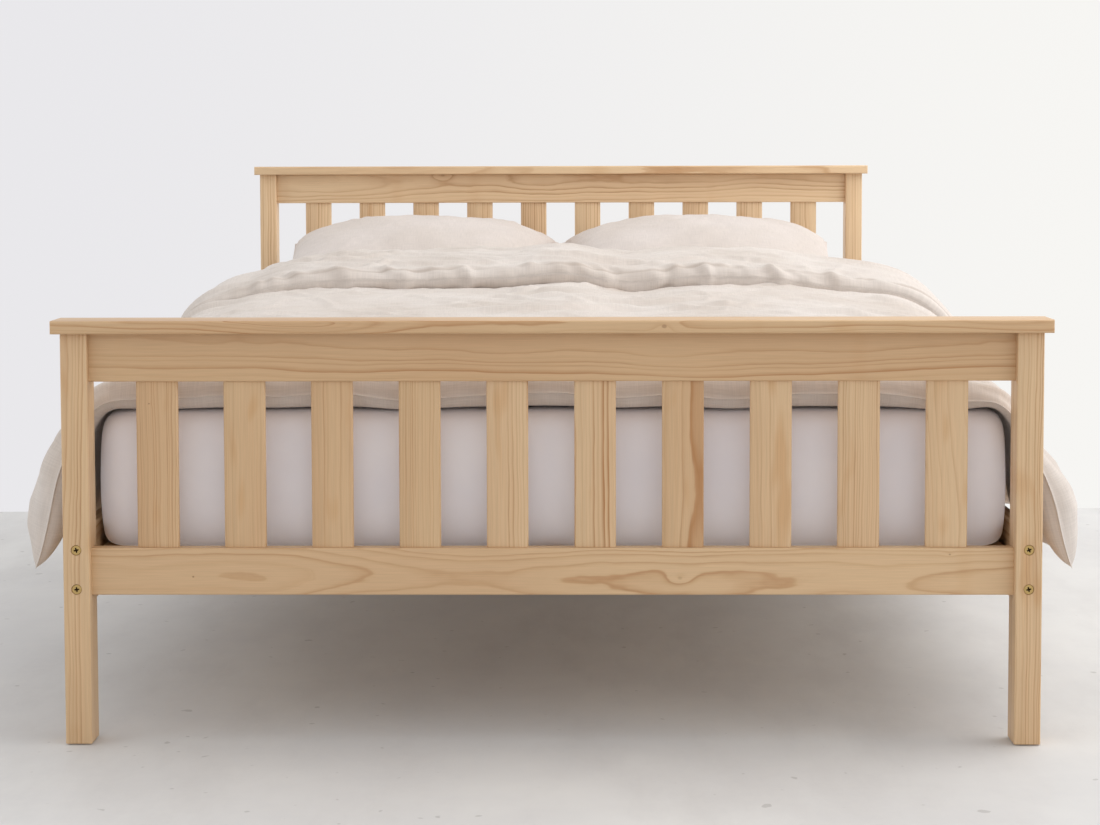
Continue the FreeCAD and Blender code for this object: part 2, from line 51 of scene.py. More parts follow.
CAMERA_PLACE = (0.0383, -4.2544, 0.8948)
CAMERA_YAW = 0.704                # degrees, to the left
CAMERA_PITCH = -3.354
CAMERA_ROLL = -0.142
CAMERA_LENS = 69.97
CAMERA_SHIFT = -0.12
SENSOR = 36


def srgb(red, green, blue):
    """A colour given in the usual 0 to 255 steps, as linear RGBA."""
    steps = [value / 255 for value in (red, green, blue)]
    linear = [v / 12.92 if v <= 0.04045 else ((v + 0.055) / 1.055) ** 2.4 for v in steps]
    return (*linear, 1.0)


def smooth(low, high, value):
    """Smoothstep for numbers and arrays."""
    share = np.clip((value - low) / (high - low), 0, 1)
    return share * share * (3 - 2 * share)


# ---- node helpers ---------------------------------------------------------------------------------

def add(tree, kind, inputs=None, **settings):
    """A new node. Inputs are values or the sockets that they come from."""
    made = tree.nodes.new("ShaderNode" + kind)
    for name, value in settings.items():
        setattr(made, name, value)
    for name, value in (inputs or {}).items():
        if isinstance(value, bpy.types.NodeSocket):
            tree.links.new(value, made.inputs[name])
        else:
            made.inputs[name].default_value = value
    return made


def calc(tree, operation, *values):
    return add(tree, "Math", dict(enumerate(values)), operation=operation).outputs[0]


def plus(tree, first, second):
    return calc(tree, "ADD", first, second)


def minus(tree, first, second):
    return calc(tree, "SUBTRACT", first, second)


def times(tree, first, second):
    return calc(tree, "MULTIPLY", first, second)


def over(tree, first, second):
    return calc(tree, "DIVIDE", first, second)


def squares(tree, first, second):
    """The sum of two sockets' squares."""
    return plus(tree, calc(tree, "POWER", first, 2.0), calc(tree, "POWER", second, 2.0))


def swing(tree, value, size):
    """A socket from 0 to 1 as a swing of that size about zero."""
    return times(tree, minus(tree, value, 0.5), size)


def fit(tree, value, low, high, new_low=0.0, new_high=1.0):
    """value mapped from one range to another, smoothly and held at the ends."""
    inputs = {0: value, 1: low, 2: high, 3: new_low, 4: new_high}
    return add(tree, "MapRange", inputs, interpolation_type="SMOOTHSTEP").outputs[0]


def mix(tree, factor, first, second, blend="MIX"):
    inputs = {0: factor, 6: first, 7: second}
    return add(tree, "Mix", inputs, data_type="RGBA", blend_type=blend).outputs[2]


def combine(tree, x, y, z):
    return add(tree, "CombineXYZ", {0: x, 1: y, 2: z}).outputs[0]


def stretched(tree, *parts):
    """A place whose coordinates are numbers, sockets, or pairs of a socket and a factor."""
    values = [times(tree, *part) if isinstance(part, tuple) else part for part in parts]
    return combine(tree, *values)


def ribs(tree, value, pitch):
    """A sine of a given pitch over a coordinate, both in metres."""
    return calc(tree, "SINE", times(tree, value, 2 * math.pi / pitch))


def weave(tree, parts, pitch):
    """A plain weave, warp over weft."""
    return times(tree, ribs(tree, parts[0], pitch), ribs(tree, parts[1], pitch))


def noise(tree, vector, scale=1.0, detail=2.0, roughness=0.5, output=0):
    inputs = {"Vector": vector, "Scale": scale, "Detail": detail, "Roughness": roughness}
    return add(tree, "TexNoise", inputs).outputs[output]


def own_place(tree):
    """Where a point is in its piece's own coordinates."""
    return add(tree, "TexCoord").outputs["Object"]


def flat_place(tree):
    """Where a point of a cloth lies when the cloth is flat."""
    return add(tree, "Attribute", attribute_name="cloth").outputs["Vector"]


def split(tree, vector):
    return add(tree, "SeparateXYZ", {0: vector}).outputs


def new_material(name):
    made = bpy.data.materials.new(name)
    made.use_nodes = True
    made.node_tree.nodes.clear()
    return made, made.node_tree


def finish_material(tree, colour, roughness, height=None, bump=0.001, strength=1.0, **extra):
    """A Principled surface with an optional bump, its height in metres times bump."""
    shader = add(tree, "BsdfPrincipled", {"Base Color": colour, "Roughness": roughness})
    for name, value in extra.items():
        shader.inputs[name.replace("_", " ")].default_value = value
    if height is not None:
        bumped = add(tree, "Bump", {"Height": height, "Distance": bump, "Strength": strength})
        tree.links.new(bumped.outputs[0], shader.inputs["Normal"])
    add(tree, "OutputMaterial", {"Surface": shader.outputs[0]})


# ---- wood -----------------------------------------------------------------------------------------

AXES = {"x": (0, 1, 2), "y": (1, 2, 0), "z": (2, 0, 1)}

EARLY = srgb(208, 174, 133)
EARLY_PALE = srgb(216, 185, 146)
EARLY_PINK = srgb(204, 165, 126)
LATE = srgb(172, 119, 70)
RESIN = srgb(192, 139, 82)
# a paler wood: a tone some boards have, and on the head board painted light as well
PALE_WOOD_AND_PAINTED_LIGHT = srgb(238, 210, 172)
KNOT = srgb(128, 84, 50)

FINE_SWING = 0.0075               # how far each ring wanders by itself
BIG_KNOT = 0.005                  # rings bend widely only round knots that are larger
KNOT_SWELL = (3.4, 1.8)           # how far it bends the rings over x and z, in its own sizes
KNOT_CORE = (0.55, 0.42)          # and how far its dark core reaches
RING_EDGE = 0.34                  # share of late wood where one ring meets the next
# and from its inner to its outer edge: share of the way, share of late wood
RING_STOPS = ((0.09, 0.05), (0.45, 0.08), (0.74, 0.5), (0.88, 1.0), (0.95, 0.85))


def ring_radius(tree, along, across, through, seed, pith, drift, lean):
    """Distance from a sloping pith line that wanders slowly, with a finer wander of each ring."""
    slow_place = stretched(tree, (along, 1.9), seed * 3.1, seed * 1.7)
    slow = split(tree, noise(tree, slow_place, detail=1.0, output=1))
    from_pith_across = plus(tree, minus(tree, across, pith[0]), swing(tree, slow[0], drift))
    from_pith_through = plus(tree, minus(tree, through, pith[1]), swing(tree, slow[1], drift))
    from_pith_through = plus(tree, from_pith_through, times(tree, along, lean))
    fine_place = stretched(tree, (along, 7.0), (across, 26.0), (through, 26.0))
    fine_place = add(tree, "VectorMath", {0: fine_place, 1: (seed * 5.3, seed, 0)}, operation="ADD")
    fine = swing(tree, noise(tree, fine_place.outputs[0], detail=3.0), FINE_SWING)
    return plus(tree, calc(tree, "SQRT", squares(tree, from_pith_across, from_pith_through)), fine)


def add_knots(tree, coordinates, parts, radius, knots):
    """Bends the rings round each knot. Also gives the share of each point that is a knot's core."""
    knot_core = None
    for x, z, size, strength in knots:
        off_x = minus(tree, parts[0], x)
        off_z = minus(tree, parts[2], z)
        reach = squares(tree, over(tree, off_x, size * KNOT_SWELL[0]),
                        over(tree, off_z, size * KNOT_SWELL[1]))
        swell = calc(tree, "EXPONENT", times(tree, reach, -1.0))
        bend = size * (0.9 if size > BIG_KNOT else 0.4)
        radius = plus(tree, radius, times(tree, swell, bend))
        rough = swing(tree, noise(tree, coordinates, 260.0), 0.7)
        spot = squares(tree, over(tree, off_x, size * KNOT_CORE[0]),
                       over(tree, off_z, size * KNOT_CORE[1]))
        core = times(tree, fit(tree, plus(tree, spot, rough), 1.7, 0.25), strength)
        knot_core = core if knot_core is None else calc(tree, "MAXIMUM", knot_core, core)
    return radius, knot_core


def late_wood(tree, radius, along, across, seed, period, late_share):
    """Share of dark late wood: rings of uneven width and strength, fainter in patches."""
    turns = over(tree, radius, period)
    uneven = noise(tree, stretched(tree, (turns, 0.31), seed, 0.0))
    turns = plus(tree, turns, times(tree, uneven, 3.2))
    ramp = add(tree, "ValToRGB", {0: calc(tree, "FRACT", turns)})
    stops = ramp.color_ramp.elements
    for number, place in enumerate((0.0, 1.0)):
        stops[number].position = place
        stops[number].color = (RING_EDGE, RING_EDGE, RING_EDGE, 1)
    for place, value in RING_STOPS:
        stops.new(place).color = (value, value, value, 1)
    each = noise(tree, stretched(tree, (calc(tree, "FLOOR", turns), 0.73), seed * 2.3, 4.0), detail=0.0)
    each = fit(tree, each, 0.32, 0.68, 0.18, 1.0)
    patch = noise(tree, stretched(tree, (along, 3.0), (across, 22.0), seed * 0.37))
    late = times(tree, times(tree, ramp.outputs[0], each), late_share)
    return times(tree, late, fit(tree, patch, 0.25, 0.7, 0.45, 1.15))


def early_wood(tree, along, across, seed, pale):
    """The ground colour under the rings, in soft tones with a few resin blotches."""
    tone = noise(tree, stretched(tree, (along, 1.6), (across, 9.0), seed * 0.91))
    colour = mix(tree, fit(tree, tone, 0.3, 0.7), EARLY_PALE, EARLY_PINK)
    colour = mix(tree, 0.5, colour, EARLY)
    # pale mixes in the paler wood: a random tone, and on the head board painted light
    colour = mix(tree, pale, colour, PALE_WOOD_AND_PAINTED_LIGHT)
    blotch = noise(tree, stretched(tree, (along, 9.0), (across, 34.0), seed * 1.3), detail=1.0)
    return mix(tree, fit(tree, blotch, 0.60, 0.80, 0.0, 0.42), colour, RESIN)


def pine(name, axis, middle, seed, pith, period, late_share, drift, lean, knots=(), pale=0.0):
    """Clear-lacquered pine, solid all through.

    The rings lie about a pith line that runs along the axis, pith away from the piece's middle.
    drift is how far they wander along the piece and lean how much they slope.
    """
    made, tree = new_material(name)
    coordinates = own_place(tree)
    parts = split(tree, coordinates)
    along, across, through = [minus(tree, parts[way], middle[way]) for way in AXES[axis]]
    radius = ring_radius(tree, along, across, through, seed, pith, drift, lean)
    radius, knot_core = add_knots(tree, coordinates, parts, radius, knots)
    late = late_wood(tree, radius, along, across, seed, period, late_share)
    colour = mix(tree, late, early_wood(tree, along, across, seed, pale), LATE)
    fibre = noise(tree, stretched(tree, (along, 14.0), (across, 900.0), (through, 900.0)))
    shade = fit(tree, fibre, 0.25, 0.75, 0.94, 1.04)
    colour = mix(tree, 1.0, colour, combine(tree, shade, shade, shade), "MULTIPLY")
    if knot_core is not None:
        colour = mix(tree, times(tree, knot_core, 0.82), colour, KNOT)
    height = plus(tree, late, times(tree, fibre, 0.8))
    finish_material(tree, colour, 0.44, height, bump=0.00012, strength=0.6, Specular_IOR_Level=0.42)
    return made


def dress(node, material):
    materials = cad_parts[node].data.materials
    materials.clear()
    materials.append(material)


def soften(node, width, segments=2, angle=24):
    """Rounds the crisp CAD edges of a node a little, for the light to catch."""
    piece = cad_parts[node]
    weld = piece.modifiers.new("weld", "WELD")
    weld.merge_threshold = 0.00001
    bevel = piece.modifiers.new("bevel", "BEVEL")
    bevel.width = width
    bevel.segments = segments
    bevel.limit_method = "ANGLE"
    bevel.angle_limit = math.radians(angle)
    bevel.harden_normals = True
    for polygon in piece.data.polygons:
        polygon.use_smooth = True


def middle_of(node):
    low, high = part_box(node)
    return (low + high) / 2


def grain(node, draw):
    """How a piece was sawn: which way it runs, where its pith lies, how wide its rings are."""
    tone = draw.uniform(-1, 1)
    if "spindle" in node or "post" in node:
        side = draw.choice((-1, 1))
        pith = (side * draw.uniform(0.045, 0.14), draw.uniform(0.02, 0.07) * draw.choice((-1, 1)))
        return dict(axis="z", pith=pith, period=draw.uniform(0.0034, 0.0058), late_share=0.74,
                    drift=draw.uniform(0.006, 0.02), lean=draw.uniform(-0.02, 0.02),
                    pale=max(0, tone * 0.3))
    if "bed_slat" in node:
        pith = (draw.uniform(-0.05, 0.05), draw.uniform(0.03, 0.09))
        return dict(axis="x", pith=pith, period=0.005, late_share=0.7, drift=0.05,
                    lean=draw.uniform(-0.02, 0.02), pale=0.25)
    if "side_rail" in node or "cleat" in node or "centre_rail" in node:
        pith = (draw.uniform(-0.03, 0.03), draw.uniform(0.04, 0.09) * draw.choice((-1, 1)))
        return dict(axis="y", pith=pith, period=0.0055, late_share=0.7, drift=0.05,
                    lean=draw.uniform(-0.015, 0.015), pale=0.1)
    pith = (draw.choice((-1, 1)) * draw.uniform(0.045, 0.075), draw.uniform(-0.02, 0.02))
    return dict(axis="x", pith=pith, period=0.0052, late_share=0.72, drift=0.06,
                lean=draw.uniform(-0.02, 0.02), pale=max(0, tone * 0.2))


# x, z, size, and how dark the core is
WOOD_KNOTS = {
    "foot_bottom_rail": ((-0.545, 0.256, 0.0030, 0.8), (0.195, 0.254, 0.0060, 0.25),
                         (0.603, 0.29, 0.003, 0.6)),
    "foot_cap": ((0.17, 0.639, 0.0065, 0.55),),
    "head_top_rail": ((-0.29, 0.846, 0.008, 0.3),),
    "foot_spindle_01": ((-0.61, 0.52, 0.0022, 0.8),),
}

# pieces whose own figure shows in the photograph
WOOD_CUTS = {
    "foot_top_rail": dict(pith=(0.052, 0.036), drift=0.034, period=0.0056),
    "foot_bottom_rail": dict(pith=(0.050, -0.014), drift=0.042, late_share=0.62),
    "head_top_rail": dict(pith=(0.060, 0.030), drift=0.030),
    "foot_spindle_02": dict(late_share=0.42),
    "foot_spindle_03": dict(late_share=0.55, period=0.0075),
    "foot_spindle_06": dict(late_share=0.95, period=0.0068, drift=0.010),
    "foot_spindle_07": dict(pith=(0.026, 0.034), late_share=0.88, period=0.0085, drift=0.045),
    "foot_spindle_08": dict(late_share=0.50, pale=0.2),
    "foot_spindle_10": dict(late_share=0.36, drift=0.05, pale=0.25),
}

WOOD_WORDS = ("post", "cap", "spindle", "rail", "cleat", "bed_slat")
HEAD_PAINTED_LIGHT = 0.42                 # painted light: the head board's wood is drawn paler, for the bright wall near it
WOOD_EDGE = 0.0006                # the least rounding of its edges


def dress_wood():
    wooden = [name for name in sorted(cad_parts)
              if any(word in name for word in WOOD_WORDS) and "bracket" not in name]
    for index, name in enumerate(wooden):
        draw = random.Random(100 + index)
        how = {**grain(name, draw), **WOOD_CUTS.get(name, {})}
        # painted light: the head board's pieces get a paler wood colour that stands in for the light they
        # catch
        if "head" in name:
            how["pale"] += HEAD_PAINTED_LIGHT
        material = pine("pine_" + name, middle=middle_of(name), seed=index * 1.37 + 2.0,
                        knots=WOOD_KNOTS.get(name, ()), **how)
        dress(name, material)
        soften(name, WOOD_EDGE)


# ---- metal, nylon, webbing ------------------------------------------------------------------------

def speckled(name, colour, deep, roughness, scale, bump, strong=False, **extra):
    """A plain material, finely clouded towards a deeper tone."""
    made, tree = new_material(name)
    cloud = noise(tree, own_place(tree), scale, 3.0)
    share = fit(tree, cloud, 0.3, 0.7) if strong else cloud
    finish_material(tree, mix(tree, share, colour, deep), roughness, cloud, bump=bump, **extra)
    return made


def darker(colour, share):
    return tuple(part * share for part in colour[:3]) + (1.0,)


def metal(name, colour, roughness):
    return speckled(name, colour, darker(colour, 0.8), roughness, 900.0, 0.00002, strong=True, Metallic=1.0)


YARN_PITCH = 0.0011               # between the yarns of the webbing and of the linen
PERCALE_PITCH = 0.0006
QUILT_PITCH = 0.12


def webbing(name):
    """Woven tape: fine ribs across it, and yarns along it, with painted shade in the hollows between them.
    """
    made, tree = new_material(name)
    parts = split(tree, own_place(tree))
    height = times(tree, plus(tree, ribs(tree, parts[1], 0.0016), ribs(tree, parts[0], YARN_PITCH)), 0.5)
    # painted shade: darker where the ribs and yarns are low
    tint = mix(tree, fit(tree, height, -0.8, 0.8), srgb(178, 170, 154), srgb(221, 214, 199))
    finish_material(tree, tint, 0.85, height, bump=0.0002)
    return made


def dress_small_parts():
    zinc = metal("zinc", srgb(196, 192, 184), 0.36)
    nylon = srgb(214, 208, 196)
    materials = {
        "centre_rail_brackets": zinc,
        "barrel_nuts": zinc,
        "screws": metal("steel", srgb(176, 178, 182), 0.34),
        "glides": speckled("nylon", nylon, darker(nylon, 0.86), 0.5, 700.0, 0.00004),
        "slat_tapes": webbing("webbing"),
        "dowels": speckled("beech", srgb(206, 164, 122), srgb(178, 132, 92), 0.6, 420.0, 0.0001),
    }
    for name, material in materials.items():
        dress(name, material)
    soften("centre_rail_brackets", 0.0004, angle=40)
    soften("glides", 0.0005, angle=40)


# ---- meshes ---------------------------------------------------------------------------------------

def mesh_object(name, points, faces, material, body, cloth=None, seams=None):
    """A smooth mesh on a body. Its shader can read each point's flat place and share of a seam, which on
    the bolts is their recess, drawn in painted shade.
    """
    mesh = bpy.data.meshes.new(name)
    mesh.from_pydata([tuple(map(float, p)) for p in points], [], faces)
    for polygon in mesh.polygons:
        polygon.use_smooth = True
    if cloth is not None:
        layer = mesh.attributes.new("cloth", "FLOAT_VECTOR", "POINT")
        layer.data.foreach_set("vector", np.asarray(cloth, np.float32).ravel())
    if seams is not None:
        layer = mesh.attributes.new("seam", "FLOAT", "POINT")
        layer.data.foreach_set("value", np.asarray(seams, np.float32))
    mesh.materials.append(material)
    made = bpy.data.objects.new(name, mesh)
    scene.collection.objects.link(made)
    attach(made, body)
    return made


def grid_faces(rows, columns, first=0, closed=False, flip=False):
    """Quads over rows of points, each row joined round if closed."""
    faces = []
    span = columns if closed else columns - 1
    for row in range(rows - 1):
        for column in range(span):
            following = (column + 1) % columns
            a = first + row * columns + column
            b = first + row * columns + following
            c = first + (row + 1) * columns + following
            d = first + (row + 1) * columns + column
            faces.append((a, d, c, b) if flip else (a, b, c, d))
    return faces


# ---- bolts ----------------------------------------------------------------------------------------

BOLT_RADIUS = 0.0075
SHANK_RADIUS = 0.003
THREAD_ROOT = 0.0026
BOLT_LENGTH = 0.093
BOLT_RINGS = 40
BOLT_SPOKES = 96
THREAD_PITCH = 0.001
THREAD_START = 0.055


def recess_depth(x, z):
    """Depth of the cross recess at a point of the head."""
    reach, half_width, deep = 0.0039, 0.00125, 0.0022
    depth = 0.0
    for along, aside in ((abs(x), abs(z)), (abs(z), abs(x))):
        narrow = half_width * (1.15 - 0.55 * min(1, along / reach))
        wall = smooth(narrow + 0.00018, narrow - 0.00018, aside)
        end = smooth(reach + 0.0003, reach - 0.0009, along)
        depth = max(depth, deep * wall * end)
    return depth


def bolt_points():
    """One bolt about its own axis: y is how far it is inside the post."""
    points = []
    spin = [2 * math.pi * spoke / BOLT_SPOKES for spoke in range(BOLT_SPOKES)]
    for radius in np.linspace(0.00012, BOLT_RADIUS - 0.0006, BOLT_RINGS):
        for turn in spin:
            x, z = radius * math.cos(turn), radius * math.sin(turn)
            dome = 0.00035 * (radius / BOLT_RADIUS) ** 2
            points.append((x, 0.0002 + dome + recess_depth(x, z), z))
    profile = [(BOLT_RADIUS - 0.00025, 0.00085), (BOLT_RADIUS, 0.0013), (BOLT_RADIUS, 0.0029),
               (SHANK_RADIUS, 0.0030)]
    depth = 0.004
    while depth < THREAD_START:
        profile.append((SHANK_RADIUS, depth))
        depth += 0.01
    while depth < BOLT_LENGTH - 0.001:
        profile += [(SHANK_RADIUS, depth), (THREAD_ROOT, depth + THREAD_PITCH / 2)]
        depth += THREAD_PITCH
    profile += [(0.0022, BOLT_LENGTH), (0.0001, BOLT_LENGTH)]
    for radius, depth in profile:
        points += [(radius * math.cos(turn), depth, radius * math.sin(turn)) for turn in spin]
    return points, BOLT_RINGS + len(profile)


def zinc_brass():
    """Yellow zinc plate, with painted shade darkening its cross recess."""
    brass, tree = new_material("zinc_brass")
    cloud = noise(tree, own_place(tree), 1400.0, 3.0)
    tint = mix(tree, cloud, srgb(214, 186, 128), srgb(182, 150, 92))
    painted_recess_shade = add(tree, "Attribute", attribute_name="seam").outputs["Fac"]
    # painted shade: near black where the cross recess is deep
    tint = mix(tree, painted_recess_shade, tint, srgb(52, 38, 24))
    finish_material(tree, tint, 0.33, cloud, bump=0.00003, Metallic=1.0)
    return brass


def build_bolts():
    source, rows = bolt_points()
    points, faces, recess_shade = [], [], []
    head_points = BOLT_RINGS * BOLT_SPOKES
    low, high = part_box("bolts")
    x = (high.x - low.x) / 2 - BOLT_RADIUS
    z_low, z_high = low.z + BOLT_RADIUS, high.z - BOLT_RADIUS
    draw = random.Random(5)
    for side in (-1, 1):
        for end in (-1, 1):
            for height in (z_low, z_high):
                turn = draw.uniform(-0.5, 0.5)
                first = len(points)
                for index, (px, py, pz) in enumerate(source):
                    depth = recess_depth(px, pz) if index < head_points else 0.0
                    # painted shade: the share of dark in the cross recess, from its depth
                    recess_shade.append(smooth(0.0004, 0.0012, depth))
                    qx = px * math.cos(turn) - pz * math.sin(turn)
                    qz = px * math.sin(turn) + pz * math.cos(turn)
                    points.append((side * x + qx, end * (high.y - py), height + qz))
                faces += grid_faces(rows, BOLT_SPOKES, first, closed=True, flip=end < 0)
    made = mesh_object("bolts_detailed", points, faces, zinc_brass(), "frame",
                       seams=recess_shade)
    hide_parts("bolts")


# ---- bedding: cloth and fills ---------------------------------------------------------------------

SEAM_SHADE = srgb(150, 128, 110)


def linen(name, pale, deep):
    """Washed linen: a plain weave of slubby yarns, soft clouds of tone, a little dark along its seams."""
    made, tree = new_material(name)
    cloth = flat_place(tree)
    parts = split(tree, cloth)
    slub_across = noise(tree, stretched(tree, (parts[0], 28.0), (parts[1], 700.0), parts[2]))
    slub_along = noise(tree, stretched(tree, (parts[0], 700.0), (parts[1], 28.0), parts[2]))
    slub = plus(tree, slub_across, slub_along)
    cloud = noise(tree, cloth, 5.0, 3.0)
    tint = mix(tree, fit(tree, cloud, 0.3, 0.7), pale, deep)
    yarn = fit(tree, slub, 0.75, 1.25, 0.95, 1.05)
    tint = mix(tree, 1.0, tint, combine(tree, yarn, yarn, yarn), "MULTIPLY")
    seam = add(tree, "Attribute", attribute_name="seam").outputs["Fac"]
    tint = mix(tree, times(tree, seam, 0.45), tint, SEAM_SHADE)
    crumple = noise(tree, cloth, 42.0, 3.0, 0.55)
    height = plus(tree, times(tree, slub, 0.35), times(tree, weave(tree, parts, YARN_PITCH), 0.12))
    height = plus(tree, height, times(tree, crumple, 3.0))
    finish_material(tree, tint, 0.88, height, bump=0.0006, strength=0.55,
                    Sheen_Weight=0.12, Sheen_Roughness=0.45, Specular_IOR_Level=0.25)
    return made


def field(points, seed, count, length, width, heading, spread):
    """Long soft wrinkles over flat coordinates: ridges with a hollow at each side.

    points is an array of places in metres; the result is a height for each, about -0.6 to 1.
    """
    draw = np.random.default_rng(seed)
    low, high = points.min(0), points.max(0)
    height = np.zeros(len(points))
    for _ in range(count):
        centre = draw.uniform(low, high)
        turn = math.radians(heading + draw.normal(0, spread))
        reach = length * draw.uniform(0.5, 1.5)
        thick = width * draw.uniform(0.6, 1.5)
        bend = draw.normal(0, 0.25) / reach
        size = draw.uniform(0.35, 1.0)
        off = points - centre
        along = off[:, 0] * math.cos(turn) + off[:, 1] * math.sin(turn)
        aside = -off[:, 0] * math.sin(turn) + off[:, 1] * math.cos(turn) + bend * along ** 2
        near = (np.abs(along) < 2.2 * reach) & (np.abs(aside) < 3.2 * thick)
        q = (aside[near] / thick) ** 2
        ridge = 1.15 * np.exp(-q) - 0.45 * np.exp(-q / 4)
        height[near] += size * ridge * np.exp(-(along[near] / reach) ** 2)
    return height


def lengths_along(points):
    """How far along a line of points each of them is."""
    steps = np.hypot(*np.diff(points, axis=0).T)
    return np.concatenate([[0], np.cumsum(steps)])


def waves(values, seed, lengths, sizes):
    """A sum of sines over a row of values in metres, each a little out of step."""
    draw = random.Random(seed)
    total = np.zeros_like(values)
    for length, size in zip(lengths, sizes):
        total = total + size * np.sin(2 * math.pi * values / length + draw.uniform(0, 6.28))
    return total


# ---- duvet ----------------------------------------------------------------------------------------

duvet_box_low, duvet_box_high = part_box("duvet")
DUVET_FOOT = duvet_box_low.y + 0.0005
DUVET_FOLD = duvet_box_high.y
FLAP_LENGTH = 0.385
DUVET_HEM = DUVET_FOLD - FLAP_LENGTH
DUVET_CREASE = DUVET_FOLD - 0.072
DUVET_BASE = 0.508                # its underside on the mattress
DUVET_STEP = 0.0105               # between its points across the bed
DUVET_ROW_STEP = 0.0095           # and along it, where most folds lie
EDGE_STEPS = (0.0, 0.0010, 0.0028, 0.0053, 0.0083, 0.0113, 0.0140, 0.0165, 0.0195, 0.0235, 0.0285,
              0.0350, 0.0430, 0.0530, 0.0650)

# thickness along the bed, of the body and of the turned flap
BODY_Y = (DUVET_FOOT, -0.70, -0.36, -0.05, 0.10, 0.20, 0.40, 0.50)
BODY_THICKNESS = (0.050, 0.070, 0.092, 0.113, 0.117, 0.112, 0.100, 0.096)
FLAP_Y = (DUVET_HEM, 0.16, 0.24, 0.34, 0.43, 0.50)
FLAP_THICKNESS = (0.046, 0.052, 0.066, 0.082, 0.090, 0.092)
FOOT_ROLL, FOOT_FLANGE = 0.034, 0.0035
FLAP_ROLL = 0.026
SIDE_ROLL, SIDE_FLANGE = 0.085, 0.0040
FOLD_INSIDE = 0.004               # radius of the fold's inner layer
FOLD_TURNS = 17
FLAP_SHORTER = 0.035              # the flap pulls its sides in
CROWN = 0.12                      # how much thinner it is at the edges than in the middle

# across the bed, the share of that thickness at each station
STATIONS = (DUVET_FOOT, -0.5, 0.1, 0.5)
EDGE_START = (0.60, 0.54, 0.48, 0.46)       # where the top starts to fall, from the bed's middle
LEFT_EDGE = (0.66, 0.66, 0.76, 0.77)        # over the mattress's edges
RIGHT_EDGE = (0.33, 0.62, 0.88, 0.90)
LEFT_SIDE = (1.16, 0.78, 0.44, 0.40)        # in the sides that hang
RIGHT_SIDE = (1.24, 0.84, 0.65, 0.66)

SIDE_WIDER = ((-1, -0.006), (1, 0.010))     # beside the flap, at the left and the right
DUVET_FOLDS = (
    (0.0100, dict(seed=3, count=250, length=0.19, width=0.0125, heading=2, spread=12)),
    (0.0096, dict(seed=9, count=330, length=0.085, width=0.0095, heading=-4, spread=34)),
    (0.0054, dict(seed=4, count=1100, length=0.038, width=0.0072, heading=8, spread=38)),
)
PUCKER_HEIGHT = 0.0088
PUCKERS = dict(seed=6, count=190, length=0.034, width=0.0092, heading=26, spread=22)
PUCKER_BAND = 0.06                # from the hem
SEAM_INSET = 0.0140               # of the flap's seam from its hem
SEAM_WIDTH = 0.0024
SEAM_DEPTH = 0.0022


def edged(length, step, steps=EDGE_STEPS):
    """Places from 0 to length, a step apart, and much closer together near 0."""
    rest = length - steps[-1]
    count = int(math.ceil(rest / step))
    even = steps[-1] + rest * np.arange(1, count + 1) / count
    return np.concatenate([steps, even])


def edged_twice(half, step, steps=EDGE_STEPS):
    """Places from -half to half, a step apart, and much closer together near both ends."""
    outward = half - edged(half, step, steps)[::-1]
    return np.concatenate([-outward[::-1], outward[1:]])


def side_path():
    """The duvet's underside from the bed's middle to its side hem: points, outward normals, length."""
    flat_end, radius, leave = 0.668, 0.042, math.radians(52)
    points = [(x, DUVET_BASE) for x in np.linspace(0, flat_end, 60)]
    for turn in np.linspace(leave / 12, leave, 13):
        points.append((flat_end + radius * math.sin(turn), DUVET_BASE - radius * (1 - math.cos(turn))))
    start = np.array(points[-1])
    end = np.array((0.778, 0.262))
    first = start + 0.085 * np.array((math.cos(leave), -math.sin(leave)))
    second = end + np.array((-0.026, 0.054))
    for t in np.linspace(0, 1, 60)[1:]:
        points.append(tuple((1 - t) ** 3 * start + 3 * t * (1 - t) ** 2 * first
                            + 3 * t * t * (1 - t) * second + t ** 3 * end))
    points = np.array(points)
    length = lengths_along(points)
    slope = np.gradient(points, length, axis=0)
    normals = np.stack([-slope[:, 1], slope[:, 0]], 1)
    normals /= np.linalg.norm(normals, axis=1)[:, None]
    return points, normals, length


def roll(distance, reach, flange=0.0):
    """Share of the full thickness at a distance from a rounded edge, past a thin flange of its seam."""
    near = np.clip((distance - flange) / reach, 0, 1)
    share = np.sqrt(np.clip(1 - (1 - near) ** 2, 0, 1))
    return np.maximum(share, 0.045) if flange else share


